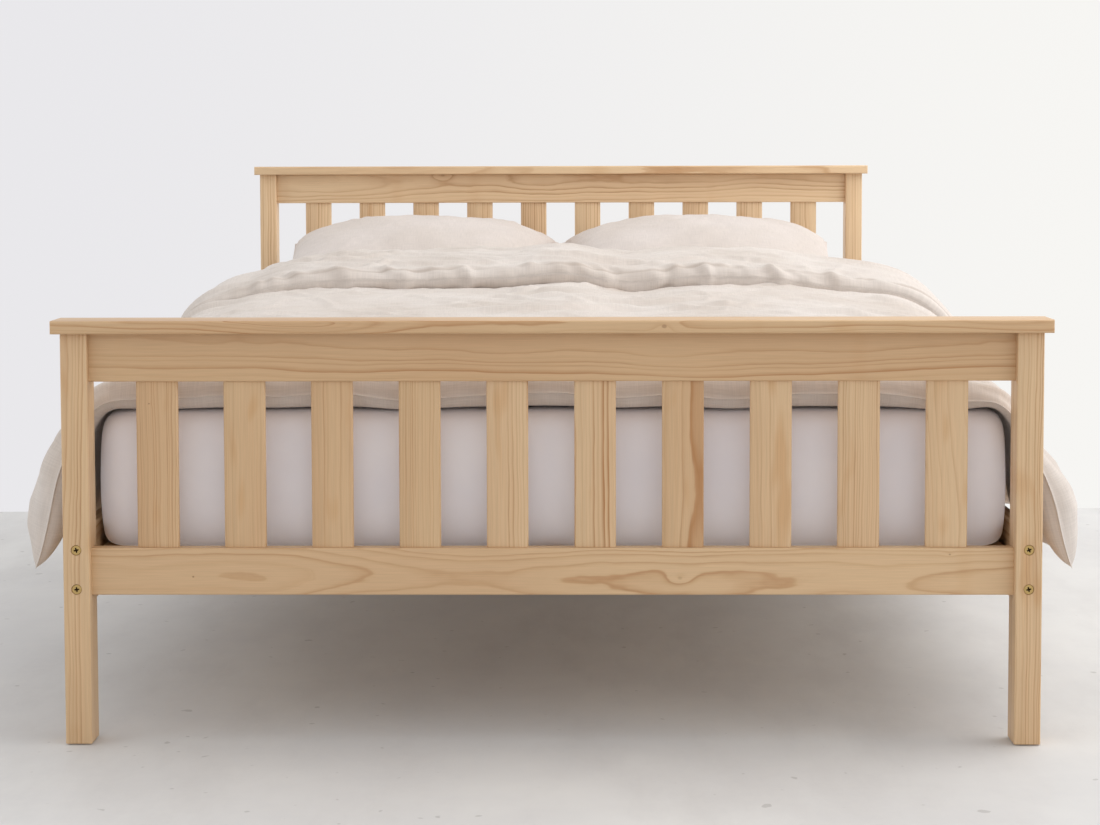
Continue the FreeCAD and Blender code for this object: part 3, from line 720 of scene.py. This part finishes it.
def duvet_profile():
    """The folded duvet seen from the side: rows of (y, middle height, half its y and height, turned).

    Heights are above the duvet's underside. The first layer is its outer one at the foot, which
    turns inside the fold; the second is the one on the mattress, which turns up over the fold.
    """
    rows = []
    for step in edged(DUVET_CREASE - DUVET_FOOT, DUVET_ROW_STEP):
        y = DUVET_FOOT + step
        thick = np.interp(y, BODY_Y, BODY_THICKNESS)
        rim = 1 - min(1.0, step / 0.045)
        half = thick / 2 * roll(step, FOOT_ROLL, FOOT_FLANGE)
        rows.append((y, thick / 2 * (1 - 0.25 * rim), 0.0, half, 0.0))
    body_end = np.interp(DUVET_CREASE, BODY_Y, BODY_THICKNESS)
    flap_end = np.interp(DUVET_CREASE, FLAP_Y, FLAP_THICKNESS)
    for turn in np.linspace(0, math.pi, FOLD_TURNS)[1:-1]:
        blend = (1 - math.cos(turn)) / 2
        outer_h = body_end + (flap_end - body_end) * blend
        outer_y = DUVET_FOLD - DUVET_CREASE
        in_y = DUVET_CREASE + FOLD_INSIDE * math.sin(turn)
        in_h = body_end - FOLD_INSIDE * math.cos(turn)
        out_y = DUVET_CREASE + outer_y * math.sin(turn)
        out_h = body_end - outer_h * math.cos(turn)
        rows.append(((in_y + out_y) / 2, (in_h + out_h) / 2, (in_y - out_y) / 2, (in_h - out_h) / 2, blend))
    for step in edged(DUVET_CREASE - DUVET_HEM, DUVET_ROW_STEP)[::-1]:
        y = DUVET_HEM + step
        thick = np.interp(y, FLAP_Y, FLAP_THICKNESS)
        below = np.interp(y, BODY_Y, BODY_THICKNESS)
        rows.append((y, below + thick / 2 - 0.005, 0.0, -thick / 2 * roll(step, FLAP_ROLL), 1.0))
    return np.array(rows)


def thickness_share(y, reach, side):
    """Share of the full thickness across one row: it thins over the mattress's edges."""
    left = side < 0
    at_edge = np.where(left, np.interp(y, STATIONS, LEFT_EDGE), np.interp(y, STATIONS, RIGHT_EDGE))
    in_side = np.where(left, np.interp(y, STATIONS, LEFT_SIDE), np.interp(y, STATIONS, RIGHT_SIDE))
    over_edge = smooth(np.interp(y, STATIONS, EDGE_START), 0.72, reach)
    hanging = smooth(np.where(left, 0.70, 0.74), np.where(left, 0.83, 0.87), reach)
    return 1 + (at_edge - 1) * over_edge + (in_side - at_edge) * hanging


def duvet_grid():
    """Both layers of the duvet as arrays of places, the flat coordinates of each point, the profile."""
    path, normals, length = side_path()
    half = length[-1]
    across = edged_twice(half, DUVET_STEP)
    reach = np.abs(across)
    side = np.sign(across)
    rows = duvet_profile()
    seam = roll(half - reach, SIDE_ROLL, SIDE_FLANGE)
    crown = 1 - CROWN * np.minimum(reach / 0.7, 1) ** 2
    layers = [np.zeros((len(rows), len(across), 3)) for _ in range(2)]
    for index, (y, middle, half_y, half_h, turned) in enumerate(rows):
        share = thickness_share(y, reach, side)
        shorter = reach * (1 - FLAP_SHORTER * turned)
        x_at, z_at = [np.interp(shorter, length, path[:, way]) for way in (0, 1)]
        nx_at, nz_at = [np.interp(shorter, length, normals[:, way]) for way in (0, 1)]
        for layer, way in zip(layers, (1, -1)):
            height = middle * share * crown + way * half_h * share * seam
            layer[index, :, 0] = side * (x_at + nx_at * height)
            layer[index, :, 1] = y + way * half_y * (0.35 + 0.65 * seam)
            layer[index, :, 2] = z_at + nz_at * height
    flat = np.zeros((len(rows), len(across), 2))
    flat[:, :, 0] = across[None, :]
    flat[:, :, 1] = lengths_along(rows[:, :2])[:, None]
    return layers, flat, rows


def hang_sides(layers, flat, rows):
    """Lets the sides swing in and out and the hems rise and fall, and draws the corners to a point."""
    across = flat[0, :, 0]
    reach = np.abs(across)
    half = reach.max()
    y = rows[:, 0]
    from_foot = y - DUVET_FOOT
    hang = smooth(0.71, half, reach)
    for way, wider in SIDE_WIDER:
        sway = waves(y, 7 + way, (0.62, 0.37, 0.23), (0.010, 0.008, 0.004)) * smooth(0.02, 0.25, from_foot)
        sway += wider * smooth(0.4, 1.05, from_foot) * smooth(0.0, 0.06, DUVET_FOLD - y)
        lift = waves(y, 17 + way, (0.71, 0.41), (0.007, 0.005)) * smooth(0.0, 0.2, from_foot)
        chosen = np.sign(across) == way
        for layer in layers:
            layer[:, chosen, 0] += way * hang[chosen][None, :] * sway[:, None]
            layer[:, chosen, 2] += hang[chosen][None, :] * lift[:, None]
    tip = np.exp(-((half - reach[None, :]) / 0.040) ** 2 - (from_foot[:, None] / 0.035) ** 2)
    flap_tip = np.exp(-((half - reach[None, :]) / 0.040) ** 2
                      - ((flat[-1, 0, 1] - flat[:, :1, 1]) / 0.035) ** 2)
    for layer in layers:
        layer[:, :, 2] -= 0.014 * tip + 0.012 * flap_tip
        layer[:, :, 0] += np.sign(across)[None, :] * (0.004 * tip + 0.006 * flap_tip)
        layer[:, :, 1] -= 0.008 * flap_tip


def hem_puckers(flat, to_hem):
    """Uneven slanting puckers in the band along the flap's hem."""
    near_hem = to_hem < PUCKER_BAND
    puckers = np.zeros(to_hem.shape)
    puckers[near_hem] = field(flat[near_hem], **PUCKERS)
    return puckers


def hem_seam(across, to_hem):
    """The seam's groove along the flap's hem, which wanders and fades in places."""
    wander = SEAM_INSET + waves(across, 61, (0.83, 0.39, 0.21), (0.0022, 0.0014, 0.0009))
    fading = 0.62 + waves(across, 62, (0.57, 0.31), (0.26, 0.16))
    return np.exp(-((to_hem - wander) / SEAM_WIDTH) ** 2) * np.clip(fading, 0.12, 1.0)


def wrinkle_duvet(layers, flat, rows):
    """Long soft folds across the bed, finer ones between them, and puckers along the flap's hem."""
    shape = flat.shape[:2]
    places = flat.reshape(-1, 2)
    across, down = flat[:, :, 0], flat[:, :, 1]
    turned = rows[:, 4][:, None]
    from_foot = (rows[:, 0] - DUVET_FOOT)[:, None]
    reach = np.abs(across)
    to_side = reach.max() - reach
    to_hem = down[-1, 0] - down
    inside = smooth(0.004, 0.04, to_side) * smooth(0.004, 0.05, down) * smooth(0.02, 0.06, to_hem)
    height = sum(size * field(places, **how).reshape(shape) for size, how in DUVET_FOLDS) * inside
    band = smooth(0.050, 0.014, to_hem) * smooth(0.0, 0.02, to_side)
    height = height + PUCKER_HEIGHT * hem_puckers(flat, to_hem) * band
    seam = hem_seam(across, to_hem)

    # slower: the flap rises and falls across the bed, and the edge at the foot sags unevenly
    hanging = smooth(0.72, 0.80, reach)
    swell = waves(across, 41, (0.47, 0.31, 0.22), (0.0045, 0.0035, 0.0025)) * smooth(0.85, 0.60, reach)
    swell = swell * smooth(0.4, 1.0, from_foot)
    sag = waves(across, 51, (0.43, 0.26, 0.17), (0.0035, 0.0025, 0.0020)) - 0.001
    sag = sag * smooth(0.72, 0.62, reach) * smooth(0.045, 0.0, from_foot) * (1 - turned)
    for number, layer in enumerate(layers):
        outward = surface_normals(layer) * (1 if number == 0 else -1)
        exposed = 1 - turned if number == 0 else turned
        moved = height * np.maximum(np.maximum(exposed, band), 0.3 * hanging)
        moved = moved - SEAM_DEPTH * seam * (number == 1)
        layer += outward * moved[:, :, None]
        layer[:, :, 2] += swell * (1 if number == 0 else turned) + sag
    return np.stack([np.zeros(shape), seam])


def build_duvet(material):
    layers, flat, rows = duvet_grid()
    hang_sides(layers, flat, rows)
    seam = wrinkle_duvet(layers, flat, rows)
    made = linen_piece("duvet_cover", layers, flat, seam, material, "duvet")
    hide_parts("duvet")


def surface_normals(layer):
    """Unit normals of a grid of places, on the side that rows crossed with columns give."""
    down = np.gradient(layer, axis=0)
    right = np.gradient(layer, axis=1)
    normal = np.cross(right, down)
    size = np.linalg.norm(normal, axis=2, keepdims=True)
    return normal / np.maximum(size, 1e-9)


def close_layers(layers, flat, seam):
    """One closed skin of two grids that share their rim, with its flat places and seams."""
    rows, columns = flat.shape[:2]
    rim = np.zeros((rows, columns), bool)
    rim[0, :] = rim[-1, :] = rim[:, 0] = rim[:, -1] = True
    points = list(((layers[0] + layers[1]) / 2)[rim])
    cloth = [(*f, 0.0) for f in flat[rim]]
    seams = list(seam.max(0)[rim])
    faces = []
    quads = np.array(grid_faces(rows, columns))
    for layer, places in enumerate(layers):
        ids = np.zeros((rows, columns), int)
        ids[rim] = np.arange(rim.sum())
        ids[~rim] = len(points) + np.arange((~rim).sum())
        points += list(places[~rim])
        cloth += [(f[0], f[1], 3.0 * layer) for f in flat[~rim]]
        seams += list(seam[layer][~rim])
        faces += ids.ravel()[quads if layer == 0 else quads[:, ::-1]].tolist()
    return points, faces, cloth, seams


def linen_piece(name, layers, flat, seam, material, body):
    points, faces, cloth, seams = close_layers(layers, flat, seam)
    made = mesh_object(name, points, faces, material, body, cloth, seams)
    made.modifiers.new("fine", "SUBSURF").render_levels = 1
    return made


# ---- pillows --------------------------------------------------------------------------------------

PILLOW_FLAT = (0.70, 0.50)
PILLOW_HALF = (0.325, 0.241, 0.108)     # half its width, length and thickness
PILLOW_TILT = math.radians(17)
PILLOW_EDGE = EDGE_STEPS[:13]
PILLOW_STEP = 0.010
PILLOW_WAIST = (0.048, 0.050)     # how much its sides and its ends draw in between the corners
PILLOW_DROOP = 0.018
PUCKER, SOFT_FOLD = 0.0034, 0.0030      # heights of its wrinkles
LOWER_SHARE = 0.4                 # of those heights, on its underside
PILLOW_APART = 0.0025             # how far each stands off its solid, away from the other
PRESSED = 0.006                   # how deep its lowest part is pressed flat on the mattress


def pillow_wrinkles(flat, to_side, to_end, side):
    """Puckers that run in from the seams, and a few long soft folds across the middle."""
    shape = to_side.shape
    places = flat.reshape(-1, 2)
    rim = np.minimum(to_side, to_end)
    near_rim = smooth(0.003, 0.03, rim) * (1 - 0.75 * smooth(0.05, 0.14, rim))
    from_ends = field(places, 31 + side, 420, 0.045, 0.0085, 90, 20).reshape(shape) * (to_end < to_side)
    from_sides = field(places, 51 + side, 300, 0.045, 0.0085, 0, 20).reshape(shape) * (to_end >= to_side)
    soft = field(places, 71 + side, 26, 0.14, 0.026, 12, 40).reshape(shape)
    return PUCKER * (from_ends + from_sides) * near_rim + SOFT_FOLD * soft * smooth(0.01, 0.06, rim)


def pillow_layers(side):
    """The pillow's upper and lower layers about its own middle, tilted, with their flat coordinates."""
    half_width, half_length, half_thick = PILLOW_HALF
    x, y = np.meshgrid(*(edged_twice(half, PILLOW_STEP, PILLOW_EDGE) for half in (half_width, half_length)))
    u, v = x / half_width, y / half_length
    x = x * (1 - PILLOW_WAIST[0] * (1 - v ** 2))
    y = y * (1 - PILLOW_WAIST[1] * (1 - u ** 2))
    to_side = half_width * (1 - np.abs(u))
    to_end = half_length * (1 - np.abs(v))
    fat = np.clip(1 - np.abs(u) ** 2.6, 0, 1) ** 0.52 * np.clip(1 - np.abs(v) ** 2.3, 0, 1) ** 0.60
    fat = np.maximum(fat * smooth(0.0025, 0.010, np.minimum(to_side, to_end)), 0.012)
    flat = np.stack([u * PILLOW_FLAT[0] / 2, v * PILLOW_FLAT[1] / 2], 2)
    height = pillow_wrinkles(flat, to_side, to_end, side)
    droop = -PILLOW_DROOP * (np.abs(u) ** 4) * (0.4 + 0.6 * np.abs(v) ** 3)
    droop += waves(x + 0.7 * y, 81 + side, (0.31, 0.17), (0.0016, 0.0012))
    layers = []
    for way, share in ((1, 1.0), (-1, LOWER_SHARE)):
        layer = np.stack([x, y, way * half_thick * fat + droop], 2)
        layer += surface_normals(layer) * (way * height)[:, :, None] * share
        across, along, up = layer[:, :, 0], layer[:, :, 1], layer[:, :, 2]
        layers.append(np.stack([across, along * math.cos(PILLOW_TILT) - up * math.sin(PILLOW_TILT),
                                along * math.sin(PILLOW_TILT) + up * math.cos(PILLOW_TILT)], 2))
    return layers, flat


def build_pillow(side, material):
    name = "left" if side < 0 else "right"
    low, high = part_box("pillow_" + name)
    layers, flat = pillow_layers(side)
    back = max(layer[:, :, 1].max() for layer in layers)
    seat = min(layer[:, :, 2].min() for layer in layers) + PRESSED
    for layer in layers:
        layer[:, :, 0] += (low.x + high.x) / 2 + side * PILLOW_APART
        layer[:, :, 1] += high.y - back
        layer[:, :, 2] = np.maximum(layer[:, :, 2] - seat, 0.0) + low.z
    no_seam = np.zeros((2, *flat.shape[:2]))
    made = linen_piece("pillow_case_" + name, layers, flat, no_seam, material, "pillow_" + name)
    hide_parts("pillow_" + name)


# ---- mattress and fitted sheet --------------------------------------------------------------------

LOOP_POINTS = 420
PADDED_HALF = (0.70, 0.984)       # its ends stay clear of both cap boards when it is lifted out
PADDED_CORNER = 0.045
SHEET_LOW, SHEET_TOP = 0.286, 0.506
SHEET_BULGE = 0.0075
SHEET_THICKNESS = 0.0008
CORE_LOW, CORE_TOP = 0.2868, 0.5046


def rounded_loop(half_x, half_y, radius):
    """A rounded rectangle's outline from the middle of its right side, and how far along each point is."""
    corners = [(half_x - radius, half_y - radius, 0), (radius - half_x, half_y - radius, 90),
               (radius - half_x, radius - half_y, 180), (half_x - radius, radius - half_y, 270)]
    outline = [(half_x, 0.0)]
    for x, y, start in corners:
        for turn in np.radians(np.linspace(start, start + 90, 17)):
            outline.append((x + radius * math.cos(turn), y + radius * math.sin(turn)))
    outline.append((half_x, 0.0))
    outline = np.array(outline)
    return outline, lengths_along(outline)


def strip_faces(first, flip=False):
    """Closes the narrow innermost ring with quads from side to side."""
    half = LOOP_POINTS // 2
    faces = []
    for index in range(-half // 2, half - half // 2):
        ids = [index % LOOP_POINTS, (index + 1) % LOOP_POINTS,
               (half - index - 1) % LOOP_POINTS, (half - index) % LOOP_POINTS]
        corners = [first + value for value in dict.fromkeys(ids)]
        if len(corners) > 2:
            faces.append(tuple(reversed(corners)) if flip else tuple(corners))
    return faces


def padded_shell(rows):
    """Rings of points for rows of (inset, height), all with the same share of the way round."""
    half_x, half_y = PADDED_HALF
    outline, length = rounded_loop(half_x, half_y, PADDED_CORNER)
    at = np.linspace(0, length[-1], LOOP_POINTS, endpoint=False)
    base = np.stack([np.interp(at, length, outline[:, 0]), np.interp(at, length, outline[:, 1])], 1)
    rings = []
    for inset, height in rows:
        scale_x = (half_x - inset) / half_x
        scale_y = (half_y - inset) / half_y
        level = np.full(LOOP_POINTS, height)
        rings.append(np.stack([base[:, 0] * scale_x, base[:, 1] * scale_y, level], 1))
    return np.array(rings), at


def sheet_rows():
    """(inset, height) of the sheet's rings, from the middle of its top to its hem under the mattress."""
    low, high = SHEET_LOW, SHEET_TOP
    rows = [(0.695, high), (0.60, high), (0.50, high), (0.38, high), (0.26, high - 0.0005),
            (0.16, high - 0.001), (0.09, high - 0.002), (0.05, high - 0.0025), (0.030, high - 0.0035),
            (0.018, high - 0.0065), (0.0085, high - 0.0120), (0.003, high - 0.0210),
            (0.0006, high - 0.034)]
    rows += [(0.0, z) for z in np.linspace(high - 0.050, low + 0.045, 10)]
    rows += [(0.0003, low + 0.026), (0.0014, low + 0.017), (0.0042, low + 0.0092), (0.0095, low + 0.0042),
             (0.018, low + 0.0018), (0.032, low + 0.0008), (0.06, low + 0.0006), (0.09, low + 0.0006)]
    return rows


def gather_sheet(rings, rows, at):
    """Bulges the sides, with soft streaks down them, and gathers strongest at the lower edge."""
    soft = waves(at, 21, (0.31, 0.19, 0.117), (0.0012, 0.0010, 0.0008))
    gather = waves(at, 22, (0.073, 0.046, 0.031), (0.0009, 0.0008, 0.0006))
    gather = gather * (0.3 + 0.7 * np.sin(at * 2.3) ** 2)
    for ring, (inset, z) in zip(rings, rows):
        if inset > 0.03 and z > 0.4:
            continue
        lower = np.clip((SHEET_TOP - 0.01 - z) / (SHEET_TOP - SHEET_LOW), 0, 1)
        amount = soft * smooth(0.02, 0.4, lower) + gather * smooth(0.45, 1.0, lower)
        direction = np.clip(ring[:, :2] / PADDED_HALF, -1, 1) ** 15
        bulge = SHEET_BULGE * math.sin(math.pi * float(lower)) ** 0.8 if inset < 0.02 else 0.0
        ring[:, :2] += direction * (bulge - np.abs(amount))[:, None]


def sheet_places(rings, rows, at):
    """The sheet's flat coordinates: as seen from above on its top, unrolled on its sides."""
    down = lengths_along(np.array(rows))
    cloth = np.zeros(rings.shape)
    for row, (inset, z) in enumerate(rows):
        if z > SHEET_TOP - 0.005:
            cloth[row, :, :2] = rings[row][:, :2]
        else:
            cloth[row, :, 0] = at
            cloth[row, :, 1] = down[row]
    return cloth.reshape(-1, 3)


def build_sheet(material):
    rows = sheet_rows()
    rings, at = padded_shell(rows)
    gather_sheet(rings, rows, at)
    faces = grid_faces(len(rows), LOOP_POINTS, closed=True, flip=True) + strip_faces(0)
    made = mesh_object("sheet_cover", rings.reshape(-1, 3), faces, material, "mattress",
                       sheet_places(rings, rows, at))
    made.modifiers.new("fine", "SUBSURF").render_levels = 1
    solid = made.modifiers.new("cloth", "SOLIDIFY")
    solid.thickness = SHEET_THICKNESS
    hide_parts("fitted_sheet")


def build_mattress(material):
    low, high = CORE_LOW, CORE_TOP
    rows = [(0.695, high), (0.50, high), (0.30, high), (0.16, high - 0.001), (0.07, high - 0.0015),
            (0.032, high - 0.003), (0.020, high - 0.0060), (0.0105, high - 0.0120), (0.005, high - 0.021),
            (0.0052, high - 0.036)]
    rows += [(0.0048, z) for z in np.linspace(high - 0.06, low + 0.06, 6)]
    rows += [(0.0050, low + 0.036), (0.0062, low + 0.020), (0.0096, low + 0.0108), (0.0165, low + 0.0050),
             (0.028, low + 0.0016), (0.045, low + 0.0002)]
    rows += [(0.075 + 0.06 * step, low) for step in range(11)]
    rows.append((0.695, low))
    points = padded_shell(rows)[0].reshape(-1, 3)
    faces = grid_faces(len(rows), LOOP_POINTS, closed=True, flip=True)
    last = (len(rows) - 1) * LOOP_POINTS
    faces += strip_faces(0) + strip_faces(last, flip=True)
    made = mesh_object("mattress_core", points, faces, material, "mattress", points)
    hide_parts("mattress")


def cotton(name, colour, shade):
    """Percale: too fine a weave to see, faint soft tone, a slight sheen."""
    made, tree = new_material(name)
    cloth = flat_place(tree)
    parts = split(tree, cloth)
    cloud = noise(tree, cloth, 6.0, 3.0)
    tint = mix(tree, fit(tree, cloud, 0.3, 0.7), colour, shade)
    crumple = noise(tree, cloth, 30.0)
    height = plus(tree, times(tree, weave(tree, parts, PERCALE_PITCH), 0.06), times(tree, crumple, 2.0))
    finish_material(tree, tint, 0.8, height, bump=0.0005, strength=0.4, Sheen_Weight=0.08,
                    Specular_IOR_Level=0.3)
    return made


def ticking(name):
    """The mattress's own knitted cover: white, with a small quilted lozenge relief and painted shade in its
    grooves.
    """
    made, tree = new_material(name)
    cloth = flat_place(tree)
    parts = split(tree, cloth)
    ridges = [calc(tree, "ABSOLUTE", ribs(tree, way(tree, parts[0], parts[1]), QUILT_PITCH))
              for way in (plus, minus)]
    quilt = calc(tree, "POWER", times(tree, *ridges), 0.4)
    knit = noise(tree, cloth, 900.0)
    height = plus(tree, times(tree, quilt, 6.0), times(tree, knit, 0.5))
    # painted shade: darker in the quilting's grooves, where the relief is low
    tint = mix(tree, quilt, srgb(206, 205, 203), srgb(234, 233, 231))
    finish_material(tree, tint, 0.85, height, bump=0.0006)
    return made


def build_bedding():
    cover = linen("linen_duvet", srgb(217, 208, 201), srgb(206, 195, 186))
    case = linen("linen_pillow", srgb(216, 206, 200), srgb(210, 199, 191))
    sheet = cotton("sheet", srgb(247, 243, 246), srgb(240, 236, 241))
    build_mattress(ticking("ticking"))
    build_sheet(sheet)
    build_duvet(cover)
    for side in (-1, 1):
        build_pillow(side, case)


# ---- floor, wall, light, camera -------------------------------------------------------------------

WALL_Y = 1.105                    # of the wall's foot, at the bed's middle
WALL_TURN = 0.018                 # the wall's slope against the bed, over x
WALL_COLOUR = srgb(238, 238, 238)
LEFT_WALL, RIGHT_WALL = srgb(233, 232, 235), srgb(247, 246, 243)
WALL_SPREAD = 0.28                # slope of the view over which painted light makes the wall brighter
FLOOR_HALF = 40

AMBIENT = 0.86
KEY_PLACE = (2.1, -0.15, 3.2)
KEY_AIM = (-0.2, 0.2, 0.5)
KEY_SIZE = 2.4
KEY_WATTS = 53
SIDE_FILLS = ((1.05, (1.0, -0.16, 0.16)), (0.60, (-1.0, -0.12, 0.24)))
FILL_ANGLE = math.radians(70)
LIGHT_COLOUR = (1.0, 0.985, 0.965)


def seen_plainly(tree):
    """1 for what the camera sees itself, in a mirror or through glass."""
    path = add(tree, "LightPath").outputs
    seen = calc(tree, "MAXIMUM", path["Is Camera Ray"], path["Is Glossy Ray"])
    return calc(tree, "MAXIMUM", seen, path["Is Transmission Ray"])


def concrete(tree, place, parts):
    """Pale ground concrete: clouds, long soft streaks, grit and a few dark pits."""
    cloud = noise(tree, place, 1.3, 5.0, 0.62)
    streak = noise(tree, stretched(tree, (parts[0], 2.2), (parts[1], 0.8), 0.0), 2.4, 6.0, 0.66)
    grit = noise(tree, place, 55.0, 4.0, 0.7)
    pit = fit(tree, noise(tree, place, 38.0, 1.0), 0.27, 0.22)
    tint = mix(tree, fit(tree, cloud, 0.3, 0.7), srgb(214, 213, 213), srgb(228, 227, 225))
    tint = mix(tree, fit(tree, streak, 0.42, 0.72, 0.0, 0.55), tint, srgb(206, 204, 203))
    tint = mix(tree, fit(tree, grit, 0.25, 0.8, 0.0, 0.3), tint, srgb(222, 220, 217))
    tint = mix(tree, times(tree, pit, 0.35), tint, srgb(140, 136, 132))
    return add(tree, "BsdfPrincipled", {"Base Color": tint, "Roughness": 0.62}).outputs[0]


def white_beyond(tree, parts):
    """Plain white that shows as the wall, with painted light making it brighter to the right."""
    white = add(tree, "BsdfDiffuse", {"Color": WALL_COLOUR}).outputs[0]
    spread = over(tree, parts[0], minus(tree, parts[1], CAMERA_PLACE[1]))
    # painted light: the wall's white grows brighter towards the right
    colour = mix(tree, fit(tree, spread, -WALL_SPREAD, WALL_SPREAD), LEFT_WALL, RIGHT_WALL)
    plain = add(tree, "Emission", {0: colour, 1: 1.0}).outputs[0]
    return add(tree, "MixShader", {0: seen_plainly(tree), 1: white, 2: plain}).outputs[0]


def build_floor():
    """One plane: concrete up to the wall's foot, and white beyond it, which fades into the background."""
    made, tree = new_material("concrete")
    place = own_place(tree)
    parts = split(tree, place)
    line = plus(tree, times(tree, parts[0], WALL_TURN), WALL_Y)
    is_past = calc(tree, "GREATER_THAN", minus(tree, parts[1], line), 0.0)
    both = {0: is_past, 1: concrete(tree, place, parts), 2: white_beyond(tree, parts)}
    add(tree, "OutputMaterial", {"Surface": add(tree, "MixShader", both).outputs[0]})
    mesh = bpy.data.meshes.new("floor")
    corners = [(-1, -1), (1, -1), (1, 1), (-1, 1)]
    mesh.from_pydata([(FLOOR_HALF * x, FLOOR_HALF * y, 0) for x, y in corners], [], [(0, 1, 2, 3)])
    mesh.materials.append(made)
    floor_piece = bpy.data.objects.new("floor", mesh)
    scene.collection.objects.link(floor_piece)


def aim(lamp, name, direction):
    """Puts a lamp into the scene with its light coming from a direction."""
    made = bpy.data.objects.new(name, lamp)
    made.rotation_mode = "QUATERNION"
    made.rotation_quaternion = Vector(direction).to_track_quat("Z", "Y")
    lamp.color = LIGHT_COLOUR
    scene.collection.objects.link(made)
    return made


def build_world():
    """An even soft light, stronger from low down and from the back and the right."""
    world = bpy.data.worlds.new("studio")
    scene.world = world
    world.use_nodes = True
    tree = world.node_tree
    tree.nodes.clear()
    direction = split(tree, add(tree, "TexCoord").outputs["Generated"])
    above = fit(tree, direction[2], 0.05, 0.65, 1.22, 0.84)
    sideways = plus(tree, 1.0, times(tree, direction[0], 0.10))
    sideways = plus(tree, sideways, times(tree, direction[1], 0.12))
    level = times(tree, above, sideways)
    light = stretched(tree, (level, 0.990), level, (level, 1.010))
    lit = add(tree, "Background", {0: light, 1: AMBIENT}).outputs[0]
    # painted light: the wall seen behind grows brighter towards the right
    seen_colour = mix(tree, fit(tree, direction[0], -WALL_SPREAD, WALL_SPREAD), LEFT_WALL, RIGHT_WALL)
    seen = add(tree, "Background", {0: seen_colour, 1: 1.0}).outputs[0]
    both = add(tree, "MixShader", {0: seen_plainly(tree), 1: lit, 2: seen}).outputs[0]
    add(tree, "OutputWorld", {0: both})


def build_light():
    build_world()
    key = bpy.data.lights.new("key", "AREA")
    key.energy = KEY_WATTS
    key.size = KEY_SIZE
    aim(key, "key", Vector(KEY_PLACE) - Vector(KEY_AIM)).location = KEY_PLACE
    for number, (strength, source) in enumerate(SIDE_FILLS):
        fill = bpy.data.lights.new("fill_%d" % number, "SUN")
        fill.energy = strength
        fill.angle = FILL_ANGLE
        aim(fill, "fill_%d" % number, source)


def build_camera():
    yaw, pitch, roll = (math.radians(v) for v in (CAMERA_YAW, CAMERA_PITCH, CAMERA_ROLL))
    forward = Vector((-math.sin(yaw) * math.cos(pitch), math.cos(yaw) * math.cos(pitch), math.sin(pitch)))
    level = Vector((math.cos(yaw), math.sin(yaw), 0))
    upright = level.cross(forward)
    right = level * math.cos(roll) + upright * math.sin(roll)
    up = upright * math.cos(roll) - level * math.sin(roll)
    data = bpy.data.cameras.new("camera")
    data.sensor_width = SENSOR
    data.lens = CAMERA_LENS
    data.shift_y = CAMERA_SHIFT
    data.clip_end = 200
    made = bpy.data.objects.new("camera", data)
    made.matrix_world = Matrix((
        (right.x, up.x, -forward.x, CAMERA_PLACE[0]),
        (right.y, up.y, -forward.y, CAMERA_PLACE[1]),
        (right.z, up.z, -forward.z, CAMERA_PLACE[2]),
        (0, 0, 0, 1)))
    scene.collection.objects.link(made)
    scene.camera = made


build_camera()
build_light()
build_floor()
build_bolts()
build_bedding()
dress_wood()
dress_small_parts()

scene.view_settings.view_transform = "Standard"
